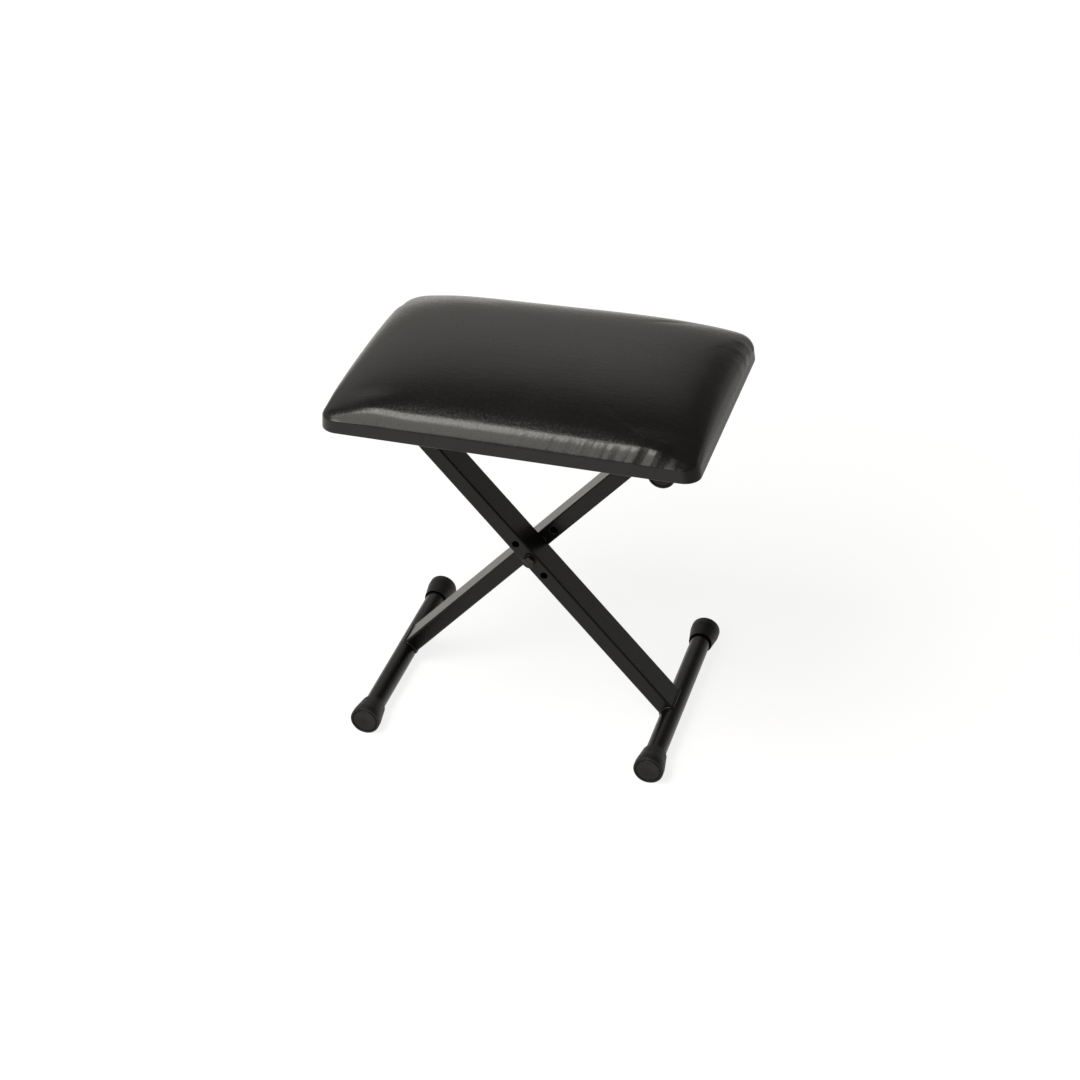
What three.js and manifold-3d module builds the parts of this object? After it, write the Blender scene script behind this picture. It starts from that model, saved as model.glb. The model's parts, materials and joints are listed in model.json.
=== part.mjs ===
// Folding keyboard bench: a padded seat on two crossed rectangular legs that turn on one bolt.
// Millimetres, +Z up, -Y towards the front. Origin on the floor under the middle of the seat.
import * as THREE from 'three';
import { mergeVertices } from 'three/addons/utils/BufferGeometryUtils.js';
import Module from 'manifold-3d';

const wasm = await Module();
wasm.setup();

// Running and fitting clearance between neighbouring pieces
const FIT = 0.3;
// How far a cutting shape runs past what it cuts
const OVERRUN = 2;

// Seat: board, foam and vinyl cover
const SEAT_WIDTH = 440;
const SEAT_DEPTH = 324;
const SEAT_CORNER = 20;
const BOARD_THICK = 15;
const CUSHION_RISE = 43.2;
const COVER_THICK = 1.2;
const COVER_EDGE = 1.5;
const HEM_WIDTH = 15;
const DRAWN_IN = 2.5;
// How square the crown is, across the width and from front to back: 2 is an ellipse
const CROWN_POWER_ACROSS = 3;
const CROWN_POWER_DEEP = 2;
// Where the rings of the crown lie, from the edge of the seat to its middle
const CROWN_INSET_SHARES = [0.012, 0.04, 0.08, 0.145, 0.24, 0.38, 0.56, 0.78];
const CORNER_GROWTH_SHARE = 0.55;
const CORNER_MOST_SHARE = 0.8;

// Crossed legs: rectangular tube, wide side along Y
const LEG_ANGLE = THREE.MathUtils.degToRad(47.7);
const LEG_WIDTH = 40;
const LEG_THICK = 20;
const LEG_WALL = 1.5;
const LEG_CORNER = 2.5;
const LEG_GAP = 2.6;
const HEIGHT_HOLE_STEP = 26;

// Round cross tubes at the floor and under the seat
const TUBE_RADIUS = 12.5;
const TUBE_WALL = 1.5;
const WELD_RADIUS = 2.4;

// How far in from the edges of the seat the tubes under it lie, and where all three pairs of caps end
const HINGE_INSET = 35.3;
const REST_INSET = 49.3;
const FOOT_END_INSET = 9;
const HINGE_END_INSET = 53;
const REST_END_INSET = 42;

// Rubber foot caps
const FOOT_CAP_RADIUS = 18.3;
const FOOT_CAP_NECK = 15;
const FOOT_CAP_LENGTH = 32;
const FOOT_CAP_BAND = 9;
const FOOT_CAP_FLAT = 0.3;
const CAP_END_WALL = 4;
const CAP_EDGE = 1.6;

// Rubber caps on the tube that the seat lies on
const REST_CAP_RADIUS = 16;
const REST_CAP_NECK = 14.6;
const REST_CAP_LENGTH = 32;
const REST_CAP_BAND = 22;

// Hinge tube, which is fixed to the front leg and turns in two brackets under the seat
const HINGE_CAP_RADIUS = 14.6;
const HINGE_CAP_NECK = 14.2;
const HINGE_CAP_LENGTH = 12;
const BRACKET_SHEET = 3;
const BRACKET_HALF = 19;
const BRACKET_FOOT = 28;
const BRACKET_BEND = 3;
const BUSH_WALL = 1.2;
const BUSH_FLANGE = 1.8;
const BUSH_FLANGE_THICK = 1;

// Stops that hold the rest tube from sliding outwards
const STOP_SHEET = 2.5;
const STOP_WIDTH = 30;
const STOP_REACH = 40;
const STOP_DROP = 22;
const STOP_BEND = 3;
const STOP_CAP_GAP = 8;

// Pivot bolt, M8
const BOLT_RADIUS = 4;
const BOLT_HEAD_FLATS = 13;
const BOLT_HEAD_THICK = 5.3;
const BOLT_TAIL = 2.5;
const WASHER_RADIUS = 8;
const WASHER_THICK = 1.6;
const NUT_THICK = 8;
const SPACER_RADIUS = 9.5;
const PIVOT_BUSH_WALL = 2;

// Wood screws
const SCREW_RADIUS = 2;
const SCREW_LENGTH = 13;
const SCREW_HEAD_RADIUS = 4;
const SCREW_HEAD_THICK = 2.2;
const SCREW_POINT = 2.5;
const SCREW_RIM = 0.4;

// Sides of round shapes
const TUBE_SIDES = 24;
const CAP_SIDES = 20;
const HOLE_SIDES = 16;
const BEND_SIDES = 4;
const SCREW_SIDES = 8;
const CORNER_STEPS = 4;
const LONG_SIDE_STEPS = 8;
const SHORT_SIDE_STEPS = 6;

// Lengths and places that follow from the sizes
const HINGE_X = -SEAT_WIDTH / 2 + HINGE_INSET;
const REST_X = SEAT_WIDTH / 2 - REST_INSET;
const CROSSING_X = (HINGE_X + REST_X) / 2;
const SPREAD = (REST_X - HINGE_X) / 2;
const LEG_HALF = SPREAD / Math.cos(LEG_ANGLE);
const RISE = SPREAD * Math.tan(LEG_ANGLE);
const FOOT_LENGTH = SEAT_DEPTH - 2 * FOOT_END_INSET;
const HINGE_LENGTH = SEAT_DEPTH - 2 * HINGE_END_INSET;
const REST_LENGTH = SEAT_DEPTH - 2 * REST_END_INSET;
const FOOT_AXIS_Z = FOOT_CAP_RADIUS - FOOT_CAP_FLAT;
const PIVOT_Z = FOOT_AXIS_Z + RISE;
const TOP_AXIS_Z = PIVOT_Z + RISE;
const BOARD_Z = TOP_AXIS_Z + REST_CAP_RADIUS + FIT;
const BOARD_TOP_Z = BOARD_Z + BOARD_THICK;
const COVER_GAP = COVER_THICK + FIT;
const COVER_Z = BOARD_Z - COVER_GAP;
const LEG_Y = (LEG_WIDTH + LEG_GAP) / 2;
const BUSH_RADIUS = TUBE_RADIUS + FIT + BUSH_WALL;
const EAR_OUT_Y = HINGE_LENGTH / 2 - HINGE_CAP_LENGTH - 2 * FIT - BUSH_FLANGE_THICK;
const STOP_Y = REST_LENGTH / 2 - REST_CAP_LENGTH - STOP_CAP_GAP - STOP_WIDTH / 2;

const paint = new THREE.MeshStandardMaterial({ color: 0x17171a, roughness: 0.42, metalness: 0.2 });
const steel = new THREE.MeshStandardMaterial({ color: 0x2c2c2e, roughness: 0.35, metalness: 0.8 });
const blackZinc = new THREE.MeshStandardMaterial({ color: 0x38383a, roughness: 0.35, metalness: 0.8 });
const zinc = new THREE.MeshStandardMaterial({ color: 0xb9bcc0, roughness: 0.3, metalness: 0.9 });
const rubber = new THREE.MeshStandardMaterial({ color: 0x141414, roughness: 0.75, metalness: 0 });
const nylon = new THREE.MeshStandardMaterial({ color: 0x202020, roughness: 0.5, metalness: 0 });
const plywood = new THREE.MeshStandardMaterial({ color: 0xb98d5a, roughness: 0.7, metalness: 0 });
const foam = new THREE.MeshStandardMaterial({ color: 0xd9cf9e, roughness: 0.95, metalness: 0 });
const vinyl = new THREE.MeshStandardMaterial({ color: 0x1b1b1c, roughness: 0.45, metalness: 0 });

// Solids for joining and cutting
function solidOf(geometry) {
  const bare = geometry.clone();
  bare.deleteAttribute('normal');
  bare.deleteAttribute('uv');
  const merged = mergeVertices(bare);
  const vertProperties = new Float32Array(merged.attributes.position.array);
  const triVerts = new Uint32Array(merged.index.array);
  return new wasm.Manifold(new wasm.Mesh({ numProp: 3, vertProperties, triVerts }));
}

function geometryOf(solid) {
  const cut = solid.getMesh();
  const geometry = new THREE.BufferGeometry();
  geometry.setAttribute('position', new THREE.BufferAttribute(new Float32Array(cut.vertProperties), 3));
  geometry.setIndex(new THREE.BufferAttribute(new Uint32Array(cut.triVerts), 1));
  geometry.computeVertexNormals();
  return geometry;
}

// Basic shapes, each placed by its middle
function rod(radius, length, sides, x, y, z) {
  return new THREE.CylinderGeometry(radius, radius, length, sides).translate(x, y, z);
}

function uprightRod(radius, length, sides, x, y, z) {
  return new THREE.CylinderGeometry(radius, radius, length, sides).rotateX(Math.PI / 2).translate(x, y, z);
}

// A closed profile of [radius, y] corners turned about the Y axis
function turned(corners, sides) {
  const points = corners.map(([radius, y]) => new THREE.Vector2(radius, y));
  return new THREE.LatheGeometry(points, sides);
}

function ring(outer, inner, length, sides) {
  const low = -length / 2;
  const high = length / 2;
  return turned([[inner, low], [outer, low], [outer, high], [inner, high], [inner, low]], sides);
}

function roundedRectangle(width, depth, radius, path) {
  const x = width / 2;
  const y = depth / 2;
  path.moveTo(x, y - radius);
  path.absarc(x - radius, y - radius, radius, 0, Math.PI / 2, false);
  path.absarc(-x + radius, y - radius, radius, Math.PI / 2, Math.PI, false);
  path.absarc(-x + radius, -y + radius, radius, Math.PI, Math.PI * 1.5, false);
  path.absarc(x - radius, -y + radius, radius, Math.PI * 1.5, Math.PI * 2, false);
  return path;
}

function add(parent, name, geometry, material, x, y, z) {
  const piece = new THREE.Mesh(geometry, material);
  piece.name = name;
  piece.position.set(x, y, z);
  parent.add(piece);
  return piece;
}

// Leg tube about the pivot: its length along Z, bolt holes along Y, both ends coped onto round tubes
function legTube() {
  const outline = roundedRectangle(LEG_THICK, LEG_WIDTH, LEG_CORNER, new THREE.Shape());
  const inside = roundedRectangle(
    LEG_THICK - 2 * LEG_WALL, LEG_WIDTH - 2 * LEG_WALL, LEG_CORNER - LEG_WALL, new THREE.Path());
  outline.holes.push(inside);
  const length = 2 * LEG_HALF;
  const blank = new THREE.ExtrudeGeometry(outline, { depth: length, bevelEnabled: false, curveSegments: 3 });
  blank.translate(0, 0, -LEG_HALF);
  let leg = solidOf(blank);
  for (const end of [-1, 1]) {
    // The weld runs along both wide sides, in the corner between the leg and the round tube
    const cornerX = LEG_THICK / 2;
    const cornerZ = LEG_HALF - Math.sqrt((TUBE_RADIUS + FIT) ** 2 - cornerX ** 2);
    const beadLength = LEG_WIDTH - 2 * LEG_CORNER;
    for (const side of [-1, 1]) {
      const bead = rod(WELD_RADIUS, beadLength, BEND_SIDES * 2, side * cornerX, 0, end * cornerZ);
      leg = leg.add(solidOf(bead));
    }
    const cope = rod(TUBE_RADIUS + FIT, LEG_WIDTH + 2 * OVERRUN, TUBE_SIDES, 0, 0, end * LEG_HALF);
    leg = leg.subtract(solidOf(cope));
  }
  for (const step of [-1, 0, 1]) {
    const hole = rod(BOLT_RADIUS + FIT, LEG_WIDTH + 2 * OVERRUN, HOLE_SIDES, 0, 0, step * HEIGHT_HOLE_STEP);
    leg = leg.subtract(solidOf(hole));
  }
  return geometryOf(leg);
}

// Rubber or plastic cap whose closed end points along +Y, with its mouth at y = 0
function tubeCap(radius, neck, length, band) {
  const bore = TUBE_RADIUS + FIT;
  const depth = length - CAP_END_WALL;
  return turned([
    [0, depth], [bore, depth], [bore, 0], [neck, 0], [radius, length - band],
    [radius, length - CAP_EDGE], [radius - CAP_EDGE, length], [0, length],
  ], CAP_SIDES);
}

// Two caps that look away from each other, at the ends of a cross tube of the given overall length
function addCaps(parent, name, geometry, capLength, length, x, z) {
  const mouth = length / 2 - capLength;
  const front = add(parent, `${name}_front`, geometry, rubber, x, -mouth, z);
  front.rotation.x = Math.PI;
  add(parent, `${name}_rear`, geometry, rubber, x, mouth, z);
}

function addCrossTube(parent, name, length, x, z) {
  const bare = length - 2 * (CAP_END_WALL + FIT);
  add(parent, name, ring(TUBE_RADIUS, TUBE_RADIUS - TUBE_WALL, bare, TUBE_SIDES), paint, x, 0, z);
}

// Foot caps stand on a small flat, cut level with the floor on both turnings of the cap
function footCap() {
  const cap = solidOf(tubeCap(FOOT_CAP_RADIUS, FOOT_CAP_NECK, FOOT_CAP_LENGTH, FOOT_CAP_BAND));
  const cutter = new THREE.BoxGeometry(2 * FOOT_CAP_RADIUS, 2 * FOOT_CAP_LENGTH, 2 * OVERRUN);
  const low = solidOf(cutter.clone().translate(0, FOOT_CAP_LENGTH / 2, -FOOT_AXIS_Z - OVERRUN));
  const high = solidOf(cutter.clone().translate(0, FOOT_CAP_LENGTH / 2, FOOT_AXIS_Z + OVERRUN));
  return geometryOf(cap.subtract(low).subtract(high));
}

// One crossed leg with its foot tube, foot caps and the bush that keeps the bolt from crushing it
function addLeg(parent, name, side, y) {
  const leg = add(parent, `${name}_tube`, legTube(), paint, 0, y, 0);
  leg.rotation.y = side * (Math.PI / 2 - LEG_ANGLE);
  const footX = -side * SPREAD;
  addCrossTube(parent, `${name}_foot_tube`, FOOT_LENGTH, footX, -RISE);
  addCaps(parent, `${name}_foot_cap`, footCap(), FOOT_CAP_LENGTH, FOOT_LENGTH, footX, -RISE);
  const bore = BOLT_RADIUS + FIT;
  const bushLength = LEG_WIDTH - 2 * (LEG_WALL + FIT);
  const bush = ring(bore + PIVOT_BUSH_WALL, bore, bushLength, HOLE_SIDES);
  add(parent, `${name}_pivot_bush`, bush, steel, 0, y, 0);
}

// Pivot bolt with its hexagon head to the front, two washers, a spacer between the legs and a lock nut
function hexagon(flats, thick) {
  const radius = flats / 2 / Math.cos(Math.PI / 6);
  const chamfer = (radius - flats / 2) / 2;
  const blank = solidOf(new THREE.CylinderGeometry(radius, radius, thick, 6));
  const turning = solidOf(turned([
    [0, -thick / 2], [flats / 2, -thick / 2], [radius, -thick / 2 + chamfer],
    [radius, thick / 2], [0, thick / 2],
  ], HOLE_SIDES));
  return blank.intersect(turning);
}

function addPivot(parent) {
  const outside = LEG_GAP / 2 + LEG_WIDTH;
  const washerY = outside + FIT + WASHER_THICK / 2;
  const headStart = outside + 2 * FIT + WASHER_THICK;
  const tailEnd = headStart + NUT_THICK + BOLT_TAIL;
  const headMiddle = headStart + BOLT_HEAD_THICK / 2;
  const shankMiddle = (tailEnd - headMiddle) / 2;
  const shank = solidOf(rod(BOLT_RADIUS, headMiddle + tailEnd, HOLE_SIDES, 0, shankMiddle, 0));
  const head = hexagon(BOLT_HEAD_FLATS, BOLT_HEAD_THICK).translate([0, -headMiddle, 0]);
  add(parent, 'pivot_bolt', geometryOf(shank.add(head)), blackZinc, 0, 0, 0);
  const washer = ring(WASHER_RADIUS, BOLT_RADIUS + FIT, WASHER_THICK, HOLE_SIDES);
  add(parent, 'pivot_washer_front', washer, blackZinc, 0, -washerY, 0);
  add(parent, 'pivot_washer_rear', washer, blackZinc, 0, washerY, 0);
  const spacer = ring(SPACER_RADIUS, BOLT_RADIUS + FIT, LEG_GAP - 2 * FIT, HOLE_SIDES);
  add(parent, 'pivot_spacer', spacer, nylon, 0, 0, 0);
  const thread = solidOf(rod(BOLT_RADIUS + FIT, NUT_THICK + 2 * OVERRUN, HOLE_SIDES, 0, 0, 0));
  const nut = hexagon(BOLT_HEAD_FLATS, NUT_THICK).subtract(thread);
  const nutPiece = add(parent, 'pivot_nut', geometryOf(nut), blackZinc, 0, headStart + NUT_THICK / 2, 0);
  nutPiece.rotation.x = Math.PI;
}

// Sheet bent once at a right angle: a level foot to -u and a flange down along -v, corner at the origin
function bentSheet(foot, drop, sheet, bend, width) {
  const outline = new THREE.Shape();
  outline.moveTo(-foot, 0);
  outline.lineTo(-foot, -sheet);
  outline.lineTo(-sheet - bend, -sheet);
  outline.absarc(-sheet - bend, -sheet - bend, bend, Math.PI / 2, 0, true);
  outline.lineTo(-sheet, -drop);
  outline.lineTo(0, -drop);
  outline.lineTo(0, -sheet - bend);
  outline.absarc(-sheet - bend, -sheet - bend, sheet + bend, 0, Math.PI / 2, false);
  outline.lineTo(-foot, 0);
  const sheetMetal = new THREE.ExtrudeGeometry(
    outline, { depth: width, bevelEnabled: false, curveSegments: BEND_SIDES });
  return sheetMetal.translate(0, 0, -width / 2);
}

// Hinge brackets: a foot screwed under the board and an ear with a round hole for the nylon bush.
// The foot runs towards the middle of the seat. Local origin: outer top corner, over the tube's axis.
const hingeScrewX = BRACKET_HALF - SCREW_HEAD_RADIUS - FIT;
const hingeScrewPlaces = [
  [-hingeScrewX, -BRACKET_FOOT + SCREW_HEAD_RADIUS + FIT],
  [hingeScrewX, -BRACKET_FOOT + SCREW_HEAD_RADIUS + FIT],
  [-hingeScrewX, -BRACKET_SHEET - BRACKET_BEND - SCREW_HEAD_RADIUS],
  [hingeScrewX, -BRACKET_SHEET - BRACKET_BEND - SCREW_HEAD_RADIUS],
];

function hingeBracket() {
  const drop = REST_CAP_RADIUS;
  const bent = bentSheet(BRACKET_FOOT, drop, BRACKET_SHEET, BRACKET_BEND, 2 * BRACKET_HALF);
  // Profile u becomes Y and v becomes Z
  bent.rotateX(Math.PI / 2).rotateZ(Math.PI / 2);
  const earY = -BRACKET_SHEET / 2;
  const above = solidOf(new THREE.BoxGeometry(2 * BRACKET_HALF, 4 * BRACKET_SHEET, 2 * BRACKET_HALF)
    .translate(0, 0, BRACKET_HALF));
  const ear = solidOf(rod(BRACKET_HALF, BRACKET_SHEET, TUBE_SIDES, 0, earY, -drop)).subtract(above);
  const hole = solidOf(rod(BUSH_RADIUS + FIT, BRACKET_SHEET + 2 * OVERRUN, TUBE_SIDES, 0, earY, -drop));
  let bracket = solidOf(bent).add(ear).subtract(hole);
  for (const [x, y] of hingeScrewPlaces) {
    bracket = bracket.subtract(solidOf(uprightRod(SCREW_RADIUS + FIT, BRACKET_SHEET + 2 * OVERRUN,
      SCREW_SIDES, x, y, -BRACKET_SHEET / 2)));
  }
  return geometryOf(bracket);
}

// Flanged nylon bush between ear and hinge tube: its flange keeps the tube's cap off the ear
function hingeBush() {
  const bore = TUBE_RADIUS + FIT;
  const seated = BRACKET_SHEET + FIT;
  const end = seated + BUSH_FLANGE_THICK;
  return turned([
    [bore, 0], [BUSH_RADIUS, 0], [BUSH_RADIUS, seated],
    [BUSH_RADIUS + BUSH_FLANGE, seated], [BUSH_RADIUS + BUSH_FLANGE, end], [bore, end], [bore, 0],
  ], CAP_SIDES);
}

// Stops outside the rest tube: a foot over the tube and a flange that the tube bears on.
// Local origin: outer top corner of the bend.
const stopScrewPlaces = [
  [-STOP_REACH + SCREW_HEAD_RADIUS * 1.5, -STOP_WIDTH / 2 + SCREW_HEAD_RADIUS * 1.5],
  [-STOP_REACH + SCREW_HEAD_RADIUS * 1.5, STOP_WIDTH / 2 - SCREW_HEAD_RADIUS * 1.5],
  [-STOP_SHEET - STOP_BEND - SCREW_HEAD_RADIUS * 1.5, 0],
];

function sunkHole(sheet) {
  return turned([
    [0, -OVERRUN], [SCREW_HEAD_RADIUS + FIT, -OVERRUN], [SCREW_HEAD_RADIUS + FIT, SCREW_RIM],
    [SCREW_RADIUS + FIT, SCREW_HEAD_THICK], [SCREW_RADIUS + FIT, sheet + OVERRUN], [0, sheet + OVERRUN],
  ], SCREW_SIDES).rotateX(Math.PI / 2);
}

function stopBracket() {
  let bracket = solidOf(bentSheet(STOP_REACH, STOP_DROP, STOP_SHEET, STOP_BEND, STOP_WIDTH)
    .rotateX(Math.PI / 2));
  for (const [x, y] of stopScrewPlaces) {
    bracket = bracket.subtract(solidOf(sunkHole(STOP_SHEET).translate(x, y, -STOP_SHEET)));
  }
  return geometryOf(bracket);
}

// Wood screws, head down, with the sheet's underside at z = 0
function panScrew() {
  return turned([
    [0, -FIT - SCREW_HEAD_THICK], [SCREW_HEAD_RADIUS - SCREW_RIM, -FIT - SCREW_HEAD_THICK],
    [SCREW_HEAD_RADIUS, -FIT - SCREW_HEAD_THICK + SCREW_RIM], [SCREW_HEAD_RADIUS, -FIT],
    [SCREW_RADIUS, -FIT], [SCREW_RADIUS, SCREW_LENGTH - SCREW_POINT], [0, SCREW_LENGTH],
  ], SCREW_SIDES).rotateX(Math.PI / 2);
}

function sunkScrew() {
  return turned([
    [0, 0], [SCREW_HEAD_RADIUS, 0], [SCREW_HEAD_RADIUS, SCREW_RIM], [SCREW_RADIUS, SCREW_HEAD_THICK],
    [SCREW_RADIUS, SCREW_LENGTH - SCREW_POINT], [0, SCREW_LENGTH],
  ], SCREW_SIDES).rotateX(Math.PI / 2);
}

// Seat plan: one ring of points, inset from the seat's edge, counter-clockwise seen from above
function seatRing(inset, shell, drawnIn, heightAt) {
  const halfX = SEAT_WIDTH / 2 - shell - inset;
  const halfY = SEAT_DEPTH / 2 - shell - inset;
  const grown = SEAT_CORNER - shell + CORNER_GROWTH_SHARE * inset;
  const radius = Math.min(grown, CORNER_MOST_SHARE * halfY);
  const corners = [[1, 1], [-1, 1], [-1, -1], [1, -1]];
  const onArc = (corner, turn) => {
    const [signX, signY] = corners[corner % corners.length];
    const angle = (corner + turn) * Math.PI / 2;
    const x = signX * (halfX - radius) + radius * Math.cos(angle);
    const y = signY * (halfY - radius) + radius * Math.sin(angle);
    return [x, y];
  };
  const ringPoints = [];
  for (let corner = 0; corner < corners.length; corner += 1) {
    for (let step = 0; step <= CORNER_STEPS; step += 1) {
      ringPoints.push(onArc(corner, step / CORNER_STEPS));
    }
    const steps = corner % 2 === 0 ? LONG_SIDE_STEPS : SHORT_SIDE_STEPS;
    const [startX, startY] = onArc(corner, 1);
    const [endX, endY] = onArc(corner + 1, 0);
    const inward = (corner + 1) * Math.PI / 2 + Math.PI;
    for (let step = 1; step < steps; step += 1) {
      const along = step / steps;
      const pull = drawnIn * 4 * along * (1 - along);
      ringPoints.push([
        startX + (endX - startX) * along + pull * Math.cos(inward),
        startY + (endY - startY) * along + pull * Math.sin(inward),
      ]);
    }
  }
  return ringPoints.map(([x, y]) => [x, y, heightAt(x, y)]);
}

function level(z) {
  return () => z;
}

// Height of the crown, for a surface that lies inside the cover's outside by the shell's thickness
function crownHeight(shell) {
  return (x, y) => {
    const across = Math.min(1, Math.abs(x) / (SEAT_WIDTH / 2 - shell));
    const deep = Math.min(1, Math.abs(y) / (SEAT_DEPTH / 2 - shell));
    const roundAcross = (1 - across ** CROWN_POWER_ACROSS) ** (1 / CROWN_POWER_ACROSS);
    const roundDeep = (1 - deep ** CROWN_POWER_DEEP) ** (1 / CROWN_POWER_DEEP);
    return BOARD_TOP_Z + (CUSHION_RISE - shell) * roundAcross * roundDeep;
  };
}

function crownRings(shell) {
  return CROWN_INSET_SHARES.map((share) => {
    const inset = share * SEAT_DEPTH / 2;
    return seatRing(inset, shell, DRAWN_IN * (1 - share) ** 2, crownHeight(shell));
  });
}

// Closed form skinned over rings from its lowest point to its highest
function skinned(bottom, rings, top) {
  const around = rings[0].length;
  const positions = [bottom, ...rings.flat(), top].flat();
  const last = rings.length * around + 1;
  const index = [];
  const at = (row, step) => 1 + row * around + step % around;
  for (let step = 0; step < around; step += 1) {
    index.push(0, at(0, step + 1), at(0, step));
    index.push(at(rings.length - 1, step), at(rings.length - 1, step + 1), last);
    for (let row = 0; row < rings.length - 1; row += 1) {
      index.push(at(row, step), at(row, step + 1), at(row + 1, step + 1));
      index.push(at(row, step), at(row + 1, step + 1), at(row + 1, step));
    }
  }
  const geometry = new THREE.BufferGeometry();
  geometry.setAttribute('position', new THREE.Float32BufferAttribute(positions, 3));
  geometry.setIndex(index);
  geometry.computeVertexNormals();
  return geometry;
}

// Foam block: flat on the board, crowned, its sides drawn in between the corners
function seatFoam() {
  const bottomZ = BOARD_TOP_Z + FIT;
  const shell = COVER_GAP + FIT;
  const rings = [seatRing(0, shell, 0, level(bottomZ)), ...crownRings(shell)];
  return skinned([0, 0, bottomZ], rings, [0, 0, crownHeight(shell)(0, 0)]);
}

// Vinyl cover: a skin over foam and board, turned under the board in a hem
function seatCover() {
  const inner = [
    seatRing(HEM_WIDTH, 0, 0, level(COVER_Z + COVER_THICK)),
    seatRing(0, COVER_THICK, 0, level(COVER_Z + COVER_THICK)),
    seatRing(0, COVER_THICK, 0, level(BOARD_TOP_Z)),
    ...crownRings(COVER_THICK),
  ];
  const outer = [
    seatRing(HEM_WIDTH, 0, 0, level(COVER_Z)),
    seatRing(COVER_EDGE, 0, 0, level(COVER_Z)),
    seatRing(0, 0, 0, level(COVER_Z + COVER_EDGE)),
    seatRing(0, 0, 0, level(BOARD_TOP_Z)),
    ...crownRings(0),
  ];
  const rings = [...inner.reverse(), ...outer];
  return skinned([0, 0, crownHeight(COVER_THICK)(0, 0)], rings, [0, 0, crownHeight(0)(0, 0)]);
}

// Plywood board with a blind hole for each screw
function seatBoard(screwPlaces) {
  const rings = [BOARD_Z, BOARD_TOP_Z].map((z) => seatRing(0, COVER_GAP, 0, level(z)));
  let board = solidOf(skinned([0, 0, BOARD_Z], rings, [0, 0, BOARD_TOP_Z]));
  for (const [x, y, top] of screwPlaces) {
    const depth = top + FIT - BOARD_Z;
    const middleZ = BOARD_Z + (depth - OVERRUN) / 2;
    const hole = uprightRod(SCREW_RADIUS + FIT, depth + OVERRUN, SCREW_SIDES, x, y, middleZ);
    board = board.subtract(solidOf(hole));
  }
  return geometryOf(board);
}

// The bench put together
const bench = new THREE.Group();

// Front leg, from bottom right to top left, with the tube that the seat is hinged on
const frontLeg = new THREE.Group();
frontLeg.position.set(CROSSING_X, 0, PIVOT_Z);
bench.add(frontLeg);
addLeg(frontLeg, 'front_leg', -1, -LEG_Y);
addPivot(frontLeg);
addCrossTube(frontLeg, 'hinge_tube', HINGE_LENGTH, -SPREAD, RISE);
const hingeCap = tubeCap(HINGE_CAP_RADIUS, HINGE_CAP_NECK, HINGE_CAP_LENGTH, HINGE_CAP_LENGTH / 2);
addCaps(frontLeg, 'hinge_cap', hingeCap, HINGE_CAP_LENGTH, HINGE_LENGTH, -SPREAD, RISE);

// Rear leg, from bottom left to top right, with the tube that the seat lies on
const rearLeg = new THREE.Group();
rearLeg.position.set(CROSSING_X, 0, PIVOT_Z);
bench.add(rearLeg);
addLeg(rearLeg, 'rear_leg', 1, LEG_Y);
addCrossTube(rearLeg, 'rest_tube', REST_LENGTH, SPREAD, RISE);
const restCap = tubeCap(REST_CAP_RADIUS, REST_CAP_NECK, REST_CAP_LENGTH, REST_CAP_BAND);
addCaps(rearLeg, 'rest_cap', restCap, REST_CAP_LENGTH, REST_LENGTH, SPREAD, RISE);

// Seat with its brackets, bushes and screws
const seat = new THREE.Group();
bench.add(seat);
const metalZ = BOARD_Z - FIT;
const screwTops = [];
for (const [place, side] of [['front', -1], ['rear', 1]]) {
  const earY = side * EAR_OUT_Y;
  const bushY = side * (EAR_OUT_Y - BRACKET_SHEET);
  const bracket = add(seat, `hinge_bracket_${place}`, hingeBracket(), paint, HINGE_X, earY, metalZ);
  const bush = add(seat, `hinge_bush_${place}`, hingeBush(), nylon, HINGE_X, bushY, TOP_AXIS_Z);
  if (side < 0) {
    bracket.rotation.z = Math.PI;
    bush.rotation.x = Math.PI;
  }
  hingeScrewPlaces.forEach(([x, y], number) => {
    const screwX = HINGE_X + x;
    const screwY = side * (EAR_OUT_Y + y);
    const screwZ = metalZ - BRACKET_SHEET;
    add(seat, `hinge_screw_${place}_${number + 1}`, panScrew(), zinc, screwX, screwY, screwZ);
    screwTops.push([screwX, screwY, screwZ + SCREW_LENGTH]);
  });
  const stopX = REST_X + TUBE_RADIUS + FIT + STOP_SHEET;
  add(seat, `stop_bracket_${place}`, stopBracket(), paint, stopX, side * STOP_Y, metalZ);
  stopScrewPlaces.forEach(([x, y], number) => {
    const screwX = stopX + x;
    const screwY = side * STOP_Y + y;
    const screwZ = metalZ - STOP_SHEET;
    add(seat, `stop_screw_${place}_${number + 1}`, sunkScrew(), zinc, screwX, screwY, screwZ);
    screwTops.push([screwX, screwY, screwZ + SCREW_LENGTH]);
  });
}
add(seat, 'seat_board', seatBoard(screwTops), plywood, 0, 0, 0);
add(seat, 'seat_foam', seatFoam(), foam, 0, 0, 0);
add(seat, 'seat_cover', seatCover(), vinyl, 0, 0, 0);

export default bench;
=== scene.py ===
import json
import math

import bmesh
import bpy
from mathutils import Matrix, Vector


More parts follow.
